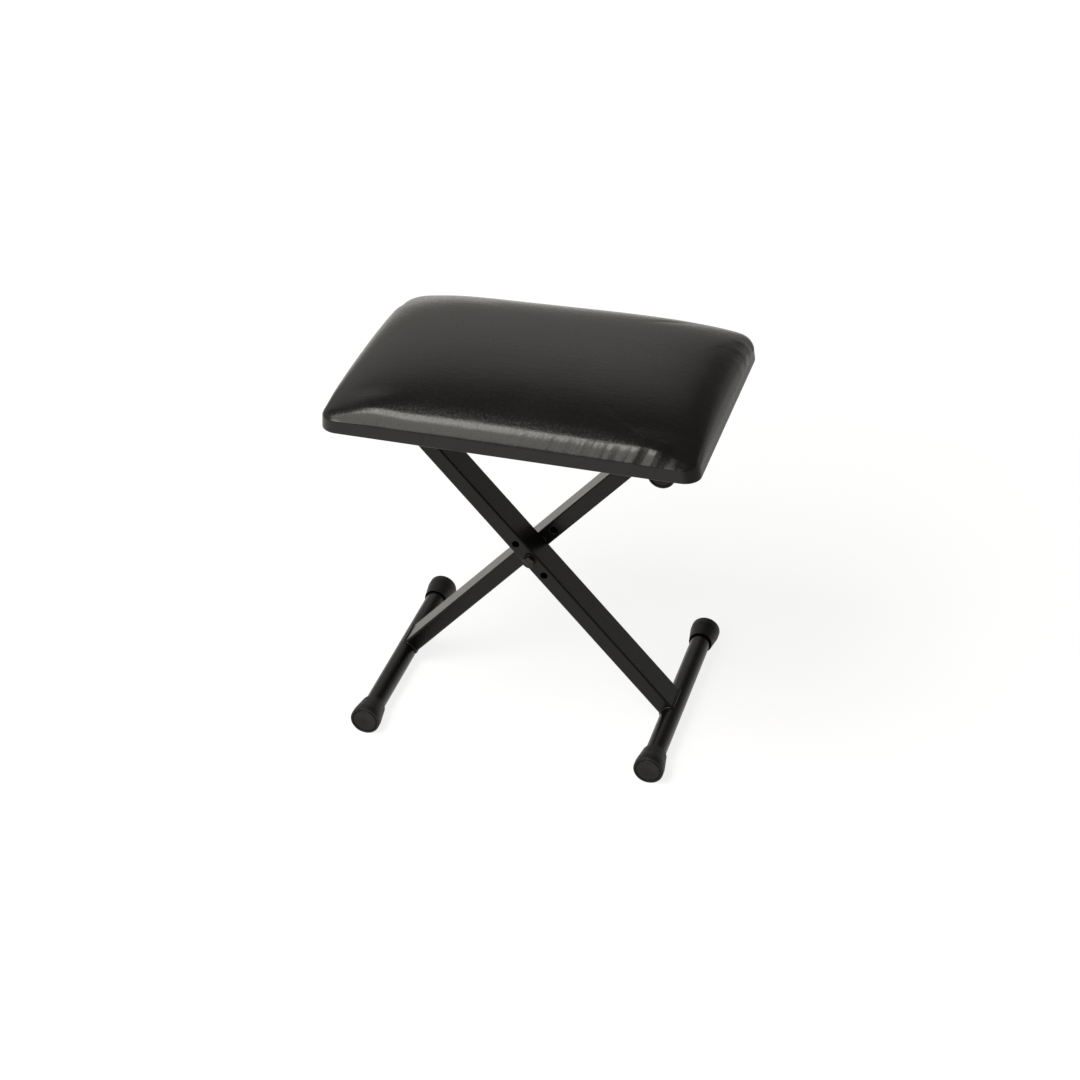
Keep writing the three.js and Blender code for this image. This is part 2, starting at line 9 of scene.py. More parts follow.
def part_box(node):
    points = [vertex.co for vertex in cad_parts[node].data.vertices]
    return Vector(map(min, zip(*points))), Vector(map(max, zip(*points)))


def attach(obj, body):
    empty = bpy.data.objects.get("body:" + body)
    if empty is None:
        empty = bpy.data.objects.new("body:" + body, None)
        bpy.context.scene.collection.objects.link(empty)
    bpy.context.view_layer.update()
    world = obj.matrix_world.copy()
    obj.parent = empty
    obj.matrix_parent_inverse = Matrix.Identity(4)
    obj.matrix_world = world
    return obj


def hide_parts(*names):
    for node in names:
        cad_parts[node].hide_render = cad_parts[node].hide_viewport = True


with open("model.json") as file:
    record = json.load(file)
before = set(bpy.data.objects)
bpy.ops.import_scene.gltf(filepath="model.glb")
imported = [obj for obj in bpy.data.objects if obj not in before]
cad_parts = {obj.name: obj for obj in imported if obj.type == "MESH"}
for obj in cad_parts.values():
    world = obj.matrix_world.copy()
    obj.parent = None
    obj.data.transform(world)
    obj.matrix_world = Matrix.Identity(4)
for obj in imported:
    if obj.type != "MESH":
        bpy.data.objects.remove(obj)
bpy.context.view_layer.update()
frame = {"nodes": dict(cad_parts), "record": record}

# Crossed legs: 20 x 40 x 1.5 mm rectangular steel tube. Each end is coped to sit on a round cross
# tube, and the narrow sides are drilled right through for the pivot bolt and for two other seat
# heights. The leg is welded to its cross tubes and powder coated in satin black.
leg_width, leg_thick, leg_wall, leg_corner, leg_edge = 0.040, 0.020, 0.0015, 0.0025, 0.00035
tube_radius = 0.0125
hole_radius, hole_step, hole_rim, drill_past = 0.0043, 0.026, 0.0009, 0.004
cope_steps = 12
turning = {joint["name"]: joint for joint in frame["record"]["behaviour"]["joints"]}
pivot = Vector(turning["leg_fold"]["pos_m"])
hinge = Vector(turning["seat_fold"]["pos_m"])
rest = Vector((2 * pivot.x - hinge.x, 0, hinge.z))


class Nodes:
    """A node tree, put together node by node."""

    def __init__(self, tree):
        self.tree = tree

    def connect(self, made, inputs):
        """Sets a node's inputs to values, or links them to sockets or to whole nodes."""
        for name, given in inputs.items():
            for value in given if isinstance(given, list) else [given]:
                if isinstance(value, bpy.types.Node):
                    value = next(socket for socket in value.outputs if socket.enabled)
                if isinstance(value, bpy.types.NodeSocket):
                    self.tree.links.new(value, made.inputs[name])
                else:
                    made.inputs[name].default_value = value
        return made

    def add(self, kind, inputs=None, **settings):
        """A new node with these settings and inputs."""
        made = self.tree.nodes.new(kind)
        for name, value in settings.items():
            setattr(made, name, value)
        return self.connect(made, inputs or {})

    def maths(self, operation, *values):
        """A sum of these values."""
        return self.add("ShaderNodeMath", dict(enumerate(values)), operation=operation)

    def spread(self, value, low, high, start=0.3, end=0.7):
        """The value, drawn out from start..end to low..high."""
        return self.add("ShaderNodeMapRange", {
            "Value": value, "From Min": start, "From Max": end, "To Min": low, "To Max": high})

    def ramp(self, value, stops):
        """A colour that goes with the value from one (position, colour) to the next."""
        made = self.add("ShaderNodeValToRGB", {"Fac": value})
        for position, _ in stops[1:-1]:
            made.color_ramp.elements.new(position)
        for stop, (position, colour) in zip(made.color_ramp.elements, stops):
            stop.position = position
            stop.color = (*colour, 1)
        return made


class Finish(Nodes):
    """A material whose colour, gloss and relief vary with noise over the piece."""

    def __init__(self, name, roughness, colour, more=None):
        self.material = bpy.data.materials.new(name)
        self.material.use_nodes = True
        self.material.diffuse_color = (*colour, 1)
        super().__init__(self.material.node_tree)
        self.shader = self.tree.nodes["Principled BSDF"]
        self.connect(self.shader, {"Base Color": (*colour, 1), "Roughness": roughness, **(more or {})})
        self.place = self.add("ShaderNodeTexCoord").outputs["Object"]
        self.under = {}

    def noise(self, scale, detail=3.0, stretch=(1, 1, 1)):
        """Noise of so many waves a metre, stretched along the axes."""
        place = self.add("ShaderNodeMapping", {"Vector": self.place, "Scale": stretch})
        return self.add("ShaderNodeTexNoise", {"Vector": place, "Scale": scale, "Detail": detail})

    def tint(self, value, dark, light):
        """A colour between dark and light."""
        return self.ramp(value, ((0.3, dark), (0.7, light)))

    def coloured(self, value):
        """Lets the colour follow the value."""
        self.connect(self.shader, {"Base Color": value})

    def roughened(self, value, low, high):
        """Lets the roughness follow the value."""
        self.connect(self.shader, {"Roughness": self.spread(value, low, high)})

    def relief(self, value, depth):
        """A fine relief of that depth in metres, on top of those made before."""
        self.under = {"Normal": self.add("ShaderNodeBump", {"Height": value, "Distance": depth, **self.under})}
        self.connect(self.shader, self.under)


def powder_coat():
    """Thin satin coat with a slight orange peel."""
    coat = Finish("satin_black_powder_coat", 0.3, (0.0032, 0.003, 0.0028), {"IOR": 1.35})
    coat.coloured(coat.tint(coat.noise(38), (0.0024, 0.0023, 0.0021), (0.004, 0.0038, 0.0035)))
    coat.roughened(coat.noise(420, 4), 0.24, 0.33)
    coat.relief(coat.noise(620, 2), 0.00003)
    coat.relief(coat.noise(95, 2), 0.00008)
    return coat.material


def arc(centre_x, centre_y, radius, start, end, steps=6):
    """Points of a rounded edge, from start to end in degrees."""
    turns = [math.radians(start + (end - start) * step / steps) for step in range(steps + 1)]
    return [(centre_x + radius * math.cos(turn), centre_y + radius * math.sin(turn)) for turn in turns]


def outline_of(thick, width, radius):
    """Rounded rectangle, counter-clockwise, with points along its narrow sides for the cope."""
    points = []
    run = thick - 2 * radius
    for side_x, side_y, start in ((1, 1, 0), (-1, 1, 90), (-1, -1, 180), (1, -1, 270)):
        points += arc(side_x * (thick / 2 - radius), side_y * (width / 2 - radius), radius, start, start + 90)
        if start in (0, 180):
            points += [(side_x * (run / 2 - run * step / cope_steps), side_y * width / 2)
                       for step in range(1, cope_steps)]
    return points


def coped_end(outline, end, axis, across, middle, half):
    """The outline at one end of the leg, cut to the round tube that it meets."""
    return [middle + across * x + Vector((0, y, 0))
            + axis * (end * (half - math.sqrt(tube_radius ** 2 - x ** 2))) for x, y in outline]


def mesh_of(vertices, faces, edges=()):
    """A mesh with these vertices."""
    mesh = bpy.data.meshes.new("made")
    mesh.from_pydata(vertices, edges, faces)
    return mesh


def between(row, next_row, count):
    """The faces between two rings of so many vertices each."""
    return [(row * count + step, row * count + (step + 1) % count, next_row * count + (step + 1) % count,
             next_row * count + step) for step in range(count)]


def written(work, mesh=None):
    """What was worked on, as a mesh."""
    mesh = mesh or bpy.data.meshes.new("made")
    work.to_mesh(mesh)
    work.free()
    return mesh


def outward(mesh, merge=1e-6):
    """Merges doubles and turns every face outwards."""
    work = bmesh.new()
    work.from_mesh(mesh)
    bmesh.ops.remove_doubles(work, verts=work.verts, dist=merge)
    bmesh.ops.recalc_face_normals(work, faces=work.faces)
    return written(work, mesh)


def joined(meshes):
    """Several meshes as one."""
    work = bmesh.new()
    for mesh in meshes:
        work.from_mesh(mesh)
    return written(work)


def carried_out(mesh, set_up):
    """The mesh with the modifiers that set_up adds, made plain."""
    helper = bpy.data.objects.new("helper", mesh)
    bpy.context.collection.objects.link(helper)
    set_up(helper)
    bpy.context.view_layer.update()
    graph = bpy.context.evaluated_depsgraph_get()
    made = bpy.data.meshes.new_from_object(helper.evaluated_get(graph))
    bpy.data.objects.remove(helper)
    return made


def drilled(mesh, drill, edge=0.0):
    """The mesh with the drill's form cut out of it, its sharp edges broken by that much."""
    cutter = bpy.data.objects.new("drill", drill)
    bpy.context.collection.objects.link(cutter)

    def set_up(helper):
        cut = helper.modifiers.new("holes", "BOOLEAN")
        cut.object = cutter
        cut.solver = "EXACT"
        if edge:
            broken = helper.modifiers.new("edges", "BEVEL")
            broken.width = edge
            broken.segments = 2
            broken.limit_method = "ANGLE"
            broken.angle_limit = math.radians(50)

    made = carried_out(mesh, set_up)
    bpy.data.objects.remove(cutter)
    return made


def shown(name, mesh, material, body, angle=32):
    """The mesh as a finished piece at the origin, smooth but for its edges, riding on a body."""
    mesh.name = name
    mesh.materials.clear()
    mesh.materials.append(material)
    mesh.polygons.foreach_set("use_smooth", [True] * len(mesh.polygons))
    mesh.set_sharp_from_angle(angle=math.radians(angle))
    piece = bpy.data.objects.new(name, mesh)
    bpy.context.collection.objects.link(piece)
    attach(piece, body)
    return piece


def spun(profile, centre, side, steps=64, lowest=-1.0):
    """A profile of (radius, place along Y), numbers or functions of the angle, turned about an axis
    through centre and closed at both ends. side is the sign of Y. Nothing reaches below lowest."""
    vertices, faces = [], []
    for row in profile:
        for step in range(steps):
            turn = 2 * math.pi * step / steps
            radius, along = (value(turn) if callable(value) else value for value in row)
            point = centre + Vector((radius * math.cos(turn), side * along, radius * math.sin(turn)))
            vertices.append((point.x, point.y, max(point.z, lowest)))
    for row in range(len(profile) - 1):
        faces += between(row, row + 1, steps)
    return outward(mesh_of(vertices, faces))


def leg_mesh(axis, across, middle, half):
    """Tube along axis, its thickness along across, with coped ends and drilled holes."""
    loops = []
    for wall in (0, leg_wall):
        outline = outline_of(leg_thick - 2 * wall, leg_width - 2 * wall, leg_corner - wall)
        loops += [coped_end(outline, end, axis, across, middle, half) for end in (-1, 1)]
    faces = []
    for low, high in ((0, 1), (2, 3), (0, 2), (1, 3)):
        faces += between(low, high, len(loops[0]))
    tube = outward(mesh_of([point for loop in loops for point in loop], faces))
    face, rim = leg_width / 2, hole_radius + hole_rim
    punch = [(0, -face - drill_past), (rim, -face - drill_past)] + arc(rim, hole_rim - face, hole_rim, 270, 180)
    punch += arc(rim, face - hole_rim, hole_rim, 180, 90) + [(rim, face + drill_past), (0, face + drill_past)]
    drill = joined([spun(punch, middle + axis * hole_step * step, 1, 48) for step in (-1, 0, 1)])
    return drilled(tube, drill, leg_edge)


def even_shading(piece):
    """Flat faces stay flat beside rounded edges."""
    modifier = piece.modifiers.new("even shading", "WEIGHTED_NORMAL")
    modifier.keep_sharp = True


coat = powder_coat()
legs = {}
for body, top in (("front_leg", hinge), ("rear_leg", rest)):
    low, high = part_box(f"{body}_tube")
    axis = (top - pivot).normalized()
    across = Vector((-axis.z, 0, axis.x)) if axis.x > 0 else Vector((axis.z, 0, -axis.x))
    middle = Vector((pivot.x, (low.y + high.y) / 2, pivot.z))
    legs[body] = (axis, across, middle, (top - pivot).length)
    leg = shown(f"{body}_drilled_tube", leg_mesh(*legs[body]), coat, body)
    even_shading(leg)
    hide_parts(f"{body}_tube")

# Weld beads: one run of weld all round each coped leg end, where it meets its cross tube. A weld
# has fine ripples, one for each step of the torch, and the coat has filled them a little.
bead_radius, bead_sides, ripple_step, ripple_depth, ripple_parts = 0.0018, 16, 0.0014, 0.00010, 5.0


class Growth(Nodes):
    """A tree with named inputs that turns a mesh into pieces in their finish."""

    def __init__(self, name, inputs):
        super().__init__(bpy.data.node_groups.new(name, "GeometryNodeTree"))
        for label, value in inputs.items():
            kind = {float: "NodeSocketFloat", int: "NodeSocketInt"}.get(type(value), value)
            socket = self.tree.interface.new_socket(label, in_out="INPUT", socket_type=kind)
            if kind != value:
                socket.default_value = value
        self.tree.interface.new_socket("Pieces", in_out="OUTPUT", socket_type="NodeSocketGeometry")
        self.given = self.add("NodeGroupInput").outputs

    def place(self, **parts):
        """A vector with these parts."""
        return self.add("ShaderNodeCombineXYZ", parts)

    def end(self, geometry):
        """Ends the tree with real geometry in its finish."""
        real = self.add("GeometryNodeRealizeInstances", {"Geometry": geometry})
        finished = self.add("GeometryNodeSetMaterial", {"Geometry": real, "Material": self.given["Finish"]})
        self.add("NodeGroupOutput", {"Pieces": finished})
        return self

    def grown(self, mesh, finish):
        """What the tree makes of the mesh, made plain."""
        named = {item.name: item.identifier for item in self.tree.interface.items_tree}

        def set_up(helper):
            modifier = helper.modifiers.new(self.tree.name, "NODES")
            modifier.node_group = self.tree
            modifier[named["Finish"]] = finish

        return outward(carried_out(mesh, set_up))


def bead_tree():
    """Weld bead along the edges of a mesh."""
    tree = Growth("weld_bead", {
        "Seam": "NodeSocketGeometry", "Bead radius": bead_radius, "Ripple step": ripple_step,
        "Ripple depth": ripple_depth, "Finish": "NodeSocketMaterial"})
    step = tree.given["Ripple step"]
    path = tree.add("GeometryNodeMeshToCurve", {"Mesh": tree.given["Seam"]})
    path = tree.add("GeometryNodeResampleCurve", {
        "Curve": path, "Length": tree.maths("DIVIDE", step, ripple_parts)}, mode="LENGTH")
    path = tree.add("GeometryNodeCaptureAttribute", {"Geometry": path}, domain="POINT")
    path.capture_items.new("FLOAT", "Along")
    tree.connect(path, {"Along": tree.add("GeometryNodeSplineParameter").outputs["Length"]})
    section = tree.add("GeometryNodeCurvePrimitiveCircle", {
        "Resolution": bead_sides, "Radius": tree.given["Bead radius"]})
    bead = tree.add("GeometryNodeCurveToMesh", {"Curve": path, "Profile Curve": section})
    waves = tree.maths("DIVIDE", path.outputs["Along"], step)
    wave = tree.maths("SINE", tree.maths("MULTIPLY", waves, 2 * math.pi))
    uneven = tree.add("ShaderNodeTexNoise", {"Scale": 300, "Detail": 2})
    swell = tree.maths("ADD", tree.maths("MULTIPLY", wave, 0.5), uneven)
    push = tree.add("ShaderNodeVectorMath", {
        0: tree.add("GeometryNodeInputNormal"),
        "Scale": tree.maths("MULTIPLY", swell, tree.given["Ripple depth"])}, operation="SCALE")
    return tree.end(tree.add("GeometryNodeSetPosition", {"Geometry": bead, "Offset": push}))


weld = bead_tree()
for body, place in legs.items():
    seam, edges = [], []
    for end in (-1, 1):
        first = len(seam)
        seam += coped_end(outline_of(leg_thick, leg_width, leg_corner), end, *place)
        count = len(seam) - first
        edges += [(first + step, first + (step + 1) % count) for step in range(count)]
    bead = shown(f"{body}_welds", weld.grown(mesh_of(seam, [], edges), coat), coat, body, 60)

# Cross tubes: 25 x 1.5 mm round steel tube, one under each leg end. The two at the floor are the
# feet, the upper left one is the seat's hinge and the seat lies on the upper right one.
tube_wall, tube_chamfer = 0.0015, 0.0003


def tube_profile(outer, inner, half, chamfer):
    """Round tube, or ring, as a closed profile with broken edges."""
    near, far, inside, outside = -half + chamfer, half - chamfer, inner + chamfer, outer - chamfer
    return [(inner, near), (inside, -half), (outside, -half), (outer, near), (outer, far), (outside, half),
            (inside, half), (inner, far), (inner, near)]


for body, name in (("front_leg", "front_leg_foot_tube"), ("rear_leg", "rear_leg_foot_tube"),
                   ("front_leg", "hinge_tube"), ("rear_leg", "rest_tube")):
    low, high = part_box(name)
    profile = tube_profile(tube_radius, tube_radius - tube_wall, (high.y - low.y) / 2, tube_chamfer)
    tube = shown(f"{name}_round", spun(profile, (low + high) / 2, 1), coat, body)
    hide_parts(name)

# Rubber caps: moulded, pushed over the ends of the cross tubes. The foot caps flare into a broad
# tread, and their round end has a moulded groove and a slightly dished middle.
tread_length, tread_radius, tread_neck, tread_band, tread_edge = 0.032, 0.0183, 0.0150, 0.009, 0.0011
rest_cap_length, rest_cap_radius, rest_cap_neck, rest_cap_band = 0.032, 0.0160, 0.0146, 0.022
rest_cap_edge, rest_cap_more = 0.0014, 0.007
hinge_cap_length, hinge_cap_radius, hinge_cap_neck, hinge_cap_edge = 0.012, 0.0146, 0.0142, 0.0012
cap_wall, cap_bore, cap_mouth, cap_lip, cap_round = 0.004, 0.01258, 0.0142, 0.0004, 0.0004
bore_step, bore_step_ends = 0.0001, ((0.009, 0.7), (0.008, 0.6))
# The groove as (further in than the rim, depth), and the dish as (share of the rim's radius, depth)
cap_rim = 0.0026
cap_groove = ((0, 0), (0.0002, 0.0003), (0.0005, 0.0011), (0.0011, 0.0011), (0.0014, 0.0003), (0.0017, 0))
cap_dish = ((0.7, 0.0002), (0.5, 0.0007), (0.25, 0.0017), (0, 0.0021))


def moulded_rubber():
    """Matt black rubber with a fine moulded skin."""
    rubber = Finish("matt_black_rubber", 0.5, (0.005, 0.0049, 0.0046), {"IOR": 1.38})
    rubber.coloured(rubber.tint(rubber.noise(60), (0.004, 0.0039, 0.0036), (0.0065, 0.0063, 0.0059)))
    rubber.roughened(rubber.noise(260, 4), 0.4, 0.58)
    rubber.relief(rubber.noise(900, 3), 0.00005)
    return rubber.material


def cap_profile(radius, neck, length, band, edge, groove, wall=cap_wall):
    """From the bottom of the bore, round the thin lip at y = 0, along the outside to the closed end."""
    lip = cap_lip if neck > cap_mouth + cap_lip else (neck - cap_bore) / 2
    outside = length - band
    (deep, deep_share), (shallow, shallow_share) = bore_step_ends
    points = [(0, length - wall), (cap_bore, length - wall), (cap_bore, min(deep, outside * deep_share)),
              (cap_bore + bore_step, min(shallow, outside * shallow_share))]
    points += arc(neck - lip, lip, lip, 180, 360, 10)
    points += [(neck + (radius - neck) * step / 6, lip + (outside - lip) * step / 6) for step in range(1, 6)]
    slope = math.atan2(radius - neck, outside - lip)
    points += [(radius - math.sin(slope) * cap_round, outside - 1.5 * cap_round), (radius, outside + cap_round),
               (radius, outside + (band - edge) / 2)]
    points += arc(radius - edge, length - edge, edge, 0, 90, 8)
    if not groove:
        return points + [(radius / 2, length), (0, length)]
    ring = radius - cap_rim
    return points + [(ring - inward, length - depth) for inward, depth in cap_groove] + [
        (ring * share, length - depth) for share, depth in cap_dish]


rubber = moulded_rubber()
tread = cap_profile(tread_radius, tread_neck, tread_length, tread_band, tread_edge, True)
rest_cap = cap_profile(rest_cap_radius, rest_cap_neck, rest_cap_length, rest_cap_band, rest_cap_edge, True)
long_cap = cap_profile(rest_cap_radius, rest_cap_neck, rest_cap_length + rest_cap_more,
                       rest_cap_band + rest_cap_more, rest_cap_edge, True, cap_wall + rest_cap_more)
hinge_cap = cap_profile(hinge_cap_radius, hinge_cap_neck, hinge_cap_length, hinge_cap_length / 2,
                        hinge_cap_edge, False)
foot_z = 2 * pivot.z - hinge.z
for body, name, front, rear, height in (
        ("front_leg", "front_leg_foot_cap", tread, tread, foot_z),
        ("rear_leg", "rear_leg_foot_cap", tread, tread, foot_z),
        ("rear_leg", "rest_cap", long_cap, rest_cap, hinge.z),
        ("front_leg", "hinge_cap", hinge_cap, hinge_cap, hinge.z)):
    for place, side, profile in (("front", -1, front), ("rear", 1, rear)):
        low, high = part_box(f"{name}_{place}")
        mouth = Vector(((low.x + high.x) / 2, high.y if side < 0 else low.y, height))
        cap = shown(f"{name}_{place}_moulded", spun(profile, mouth, side, 72, 0.0), rubber, body, 40)
        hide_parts(f"{name}_{place}")

# Pivot: an M8 hexagon bolt through both legs, its head to the front, with a washer at each side, a
# nylon spacer between the legs and a lock nut with a nylon collar behind. All but the nylon is
# blackened steel.
bolt_radius, flats, head_thick, nut_thick, nut_steel = 0.004, 0.013, 0.0053, 0.008, 0.78
thread_pitch, thread_depth, thread_length, thread_end, rows_a_turn = 0.00125, 0.0006, 0.012, 0.86, 6
hexagon_face, hexagon_slope, hexagon_break = 0.94, math.radians(28), 0.00015
nut_bore, collar_radius, collar_edge, washer_chamfer = bolt_radius + 0.0003, flats / 2 * 0.9, 0.0012, 0.0002


def blackened_steel():
    """Blackened zinc plate with a slight bloom."""
    steel = Finish("blackened_steel", 0.32, (0.03, 0.029, 0.027), {"Metallic": 0.85})
    steel.coloured(steel.tint(steel.noise(240, 4), (0.022, 0.0215, 0.02), (0.05, 0.049, 0.046)))
    steel.roughened(steel.noise(500, 4), 0.28, 0.46)
    steel.relief(steel.noise(1500, 2), 0.00002)
    return steel.material


def moulded_nylon():
    """Black nylon, slightly waxy."""
    nylon = Finish("black_nylon", 0.45, (0.03, 0.03, 0.03))
    nylon.roughened(nylon.noise(300, 3), 0.38, 0.52)
    nylon.relief(nylon.noise(700, 2), 0.00003)
    return nylon.material


def hexagon_rows(low, high, chamfer_low, chamfer_high):
    """Profile that goes over a chamfered hexagon, bottom to top."""
    circle = flats / 2 * hexagon_face

    def side(turn):
        return flats / 2 / math.cos((turn + math.pi / 6) % (math.pi / 3) - math.pi / 6)

    def drop(turn, chamfer):
        return max(0.0, side(turn) - circle) * math.tan(hexagon_slope) if chamfer else hexagon_break

    return [(0, low), (circle, low), (side, lambda turn: low + drop(turn, chamfer_low)),
            (side, lambda turn: high - drop(turn, chamfer_high)), (circle, high), (0, high)]


def thread_rows(start, end):
    """A shank from start to end with a thread, closed at both ends."""
    rows = [(0, start)]
    count = int((end - start) / thread_pitch * rows_a_turn)
    for row in range(count + 1):
        along = start + (end - start) * row / count
        ease = min(1.0, (count - row) / (rows_a_turn - 1))

        def radius(turn, along=along, ease=ease):
            wave = abs(((along / thread_pitch - turn / (2 * math.pi)) % 1) * 2 - 1)
            return (bolt_radius - thread_depth * wave) * (thread_end + (1 - thread_end) * ease)

        rows.append((radius, along))
    return rows + [(0, end)]


def round_bit(radius, depth, place, steps):
    """A cylinder about a place, to drill with."""
    work = bmesh.new()
    bmesh.ops.create_cone(work, cap_ends=True, segments=steps, radius1=radius, radius2=radius, depth=depth,
                          matrix=place)
    return written(work)


black_steel = blackened_steel()
nylon = moulded_nylon()
head_face, tail_end = (corner.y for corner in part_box("pivot_bolt"))
head_low = head_face + head_thick
nut_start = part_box("pivot_nut")[0].y
thread_start = nut_start - thread_length
bolt = joined([
    spun(hexagon_rows(-head_low, -head_face, False, True), pivot, -1, 96),
    spun([(0, head_low), (bolt_radius, head_low), (bolt_radius, thread_start), (0, thread_start)],
         pivot, 1, 48),
    spun(thread_rows(thread_start, tail_end), pivot, 1, 48),
])
bolt_piece = shown("pivot_bolt_hexagon", bolt, black_steel, "front_leg", 24)
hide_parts("pivot_bolt")
collar_low, collar_high = nut_start + nut_thick * nut_steel, nut_start + nut_thick
along_bolt = Matrix.Translation((pivot.x, nut_start, pivot.z)) @ Matrix.Rotation(math.pi / 2, 4, "X")
nut = drilled(spun(hexagon_rows(nut_start, collar_low, True, True), pivot, 1, 96),
              round_bit(nut_bore, 4 * nut_thick, along_bolt, 48))
collar = spun([(nut_bore, collar_low), (collar_radius, collar_low)]
              + arc(collar_radius - collar_edge, collar_high - collar_edge, collar_edge, 0, 90)
              + [(nut_bore, collar_high), (nut_bore, collar_low)], pivot, 1, 64)
nut_piece = shown("pivot_lock_nut", joined([nut, collar]), black_steel, "front_leg", 24)
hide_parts("pivot_nut")
for name, finish, slot in (("pivot_washer_front", black_steel, "black_zinc"),
                           ("pivot_washer_rear", black_steel, "black_zinc"), ("pivot_spacer", nylon, "nylon")):
    low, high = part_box(name)
    profile = tube_profile((high.z - low.z) / 2, nut_bore, (high.y - low.y) / 2, washer_chamfer)
    washer = shown(f"{name}_round", spun(profile, (low + high) / 2, 1), finish, "front_leg")
    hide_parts(name)

# Bushes in the legs: short steel tubes round the bolt, which stop it from crushing the legs. They
# are hidden inside, and keep the plain form of the frame.


def plain_steel():
    """Bright cut steel with drawing marks along the tube."""
    steel = Finish("plain_steel", 0.4, (0.3, 0.3, 0.31), {"Metallic": 1.0})
    steel.coloured(steel.tint(steel.noise(300, 3, (1, 0.1, 1)), (0.22, 0.22, 0.23), (0.36, 0.36, 0.37)))
    steel.roughened(steel.noise(800, 3, (1, 0.1, 1)), 0.3, 0.5)
    return steel.material


steel = plain_steel()
for name in ("front_leg_pivot_bush", "rear_leg_pivot_bush"):
    frame["nodes"][name].material_slots[0].material = steel

# Hinge: two flanged nylon bushes turn on the hinge tube, each in the ear of a bracket of bent 3 mm
# steel that is screwed under the seat. The flange keeps the tube's cap off the ear.
bush_wall, bush_play, bush_flange, flange_thick, flange_edge = 0.0012, 0.0002, 0.0018, 0.001, 0.0002
ear_half, ear_sheet, ear_bend, ear_foot, ear_tip = 0.019, 0.003, 0.003, 0.028, 0.04
strip_edge, strip_columns, flat_steps, bend_steps, flange_steps = 0.0003, 24, 12, 8, 40
end_shares, hole_play = (0.01, 0.03, 0.06), 0.0001
screw_radius, screw_length, screw_head, screw_rise = 0.002, 0.013, 0.004, 0.0022
seat_gap, screw_play = 0.0003, 0.0003
bush_radius = tube_radius + seat_gap + bush_wall
bore = tube_radius + bush_play
board_low, board_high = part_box("seat_board")
metal_z = board_low.z - seat_gap
for place, side in (("front", -1), ("rear", 1)):
    low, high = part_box(f"hinge_bush_{place}")
    inner_end = high.y if side < 0 else low.y
    length, flange = high.y - low.y, bush_radius + bush_flange
    profile = [(bore, 0), (bush_radius, 0), (bush_radius, length - flange_thick),
               (flange, length - flange_thick), (flange, length - flange_edge), (flange - flange_edge, length),
               (bore + flange_edge, length), (bore, length - flange_edge), (bore, 0)]
    turned = spun(profile, Vector((hinge.x, inner_end, hinge.z)), side)
    bush = shown(f"hinge_bush_{place}_flanged", turned, nylon, "hinge_bushes")
    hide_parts(f"hinge_bush_{place}")


def bent_strip(foot, drop, sheet, bend, half_at, holes):
    """Sheet bent once: a level foot towards -u and a flange down. Made in (u, v, w) with the outer
    corner of the bend at the origin, u along the foot, v up and w across. half_at gives half the
    width for a place along the strip, from the foot's end, and holes are (centre, radius, along u)."""
    arc_length = (bend + sheet / 2) * math.pi / 2
    flat = foot - sheet - bend
    bent = flat + arc_length
    total = bent + drop - sheet - bend
    stations = {flat * step / flat_steps for step in range(flat_steps)} | {flat * share for share in end_shares}
    stations |= {flat + arc_length * step / bend_steps for step in range(bend_steps)}
    stations |= {bent + (total - bent) * step / flange_steps for step in range(flange_steps + 1)}
    vertices, faces = [], []
    for along in sorted(stations):
        turn = min(1.0, max(0.0, (along - flat) / arc_length)) * math.pi / 2
        u = (sheet + bend) * (math.sin(turn) - 1) - max(0.0, flat - along)
        v = (sheet + bend) * (math.cos(turn) - 1) - max(0.0, along - bent)
        half = half_at(along, total)
        for depth in (0.0, sheet):
            for column in range(strip_columns + 1):
                across = half * (2 * column / strip_columns - 1)
                vertices.append((u - math.sin(turn) * depth, v - math.cos(turn) * depth, across))
    width = strip_columns + 1
    for row in range(len(stations) - 1):
        for start in range(row * 2 * width, row * 2 * width + strip_columns):
            for layer in (start, start + width):
                faces.append((layer, layer + 1, layer + 2 * width + 1, layer + 2 * width))
        for start in (row * 2 * width, row * 2 * width + strip_columns):
            faces.append((start, start + width, start + 3 * width, start + 2 * width))
    for row in (0, len(stations) - 1):
        for start in range(row * 2 * width, row * 2 * width + strip_columns):
            faces.append((start, start + 1, start + width + 1, start + width))
    drill = joined([round_bit(radius, 4 * sheet, Matrix.Translation(centre) @ Matrix.Rotation(
        math.pi / 2, 4, "Y" if lies else "X"), 64) for centre, radius, lies in holes])
    return drilled(outward(mesh_of(vertices, faces)), drill, strip_edge)


def set_in_place(mesh, origin, u_axis, w_axis):
    """Turns (u, v, w) to the bench, with v up."""
    turn = Matrix((u_axis, (0, 0, 1), w_axis)).transposed().to_4x4()
    mesh.transform(Matrix.Translation(origin) @ turn)
    return outward(mesh)


def ear_half_at(along, total):
    """Full width to the height of the tube, then round."""
    below = max(0.0, along - (total - ear_half))
    return math.sqrt(max(ear_half ** 2 - below ** 2, (ear_half * ear_tip) ** 2))


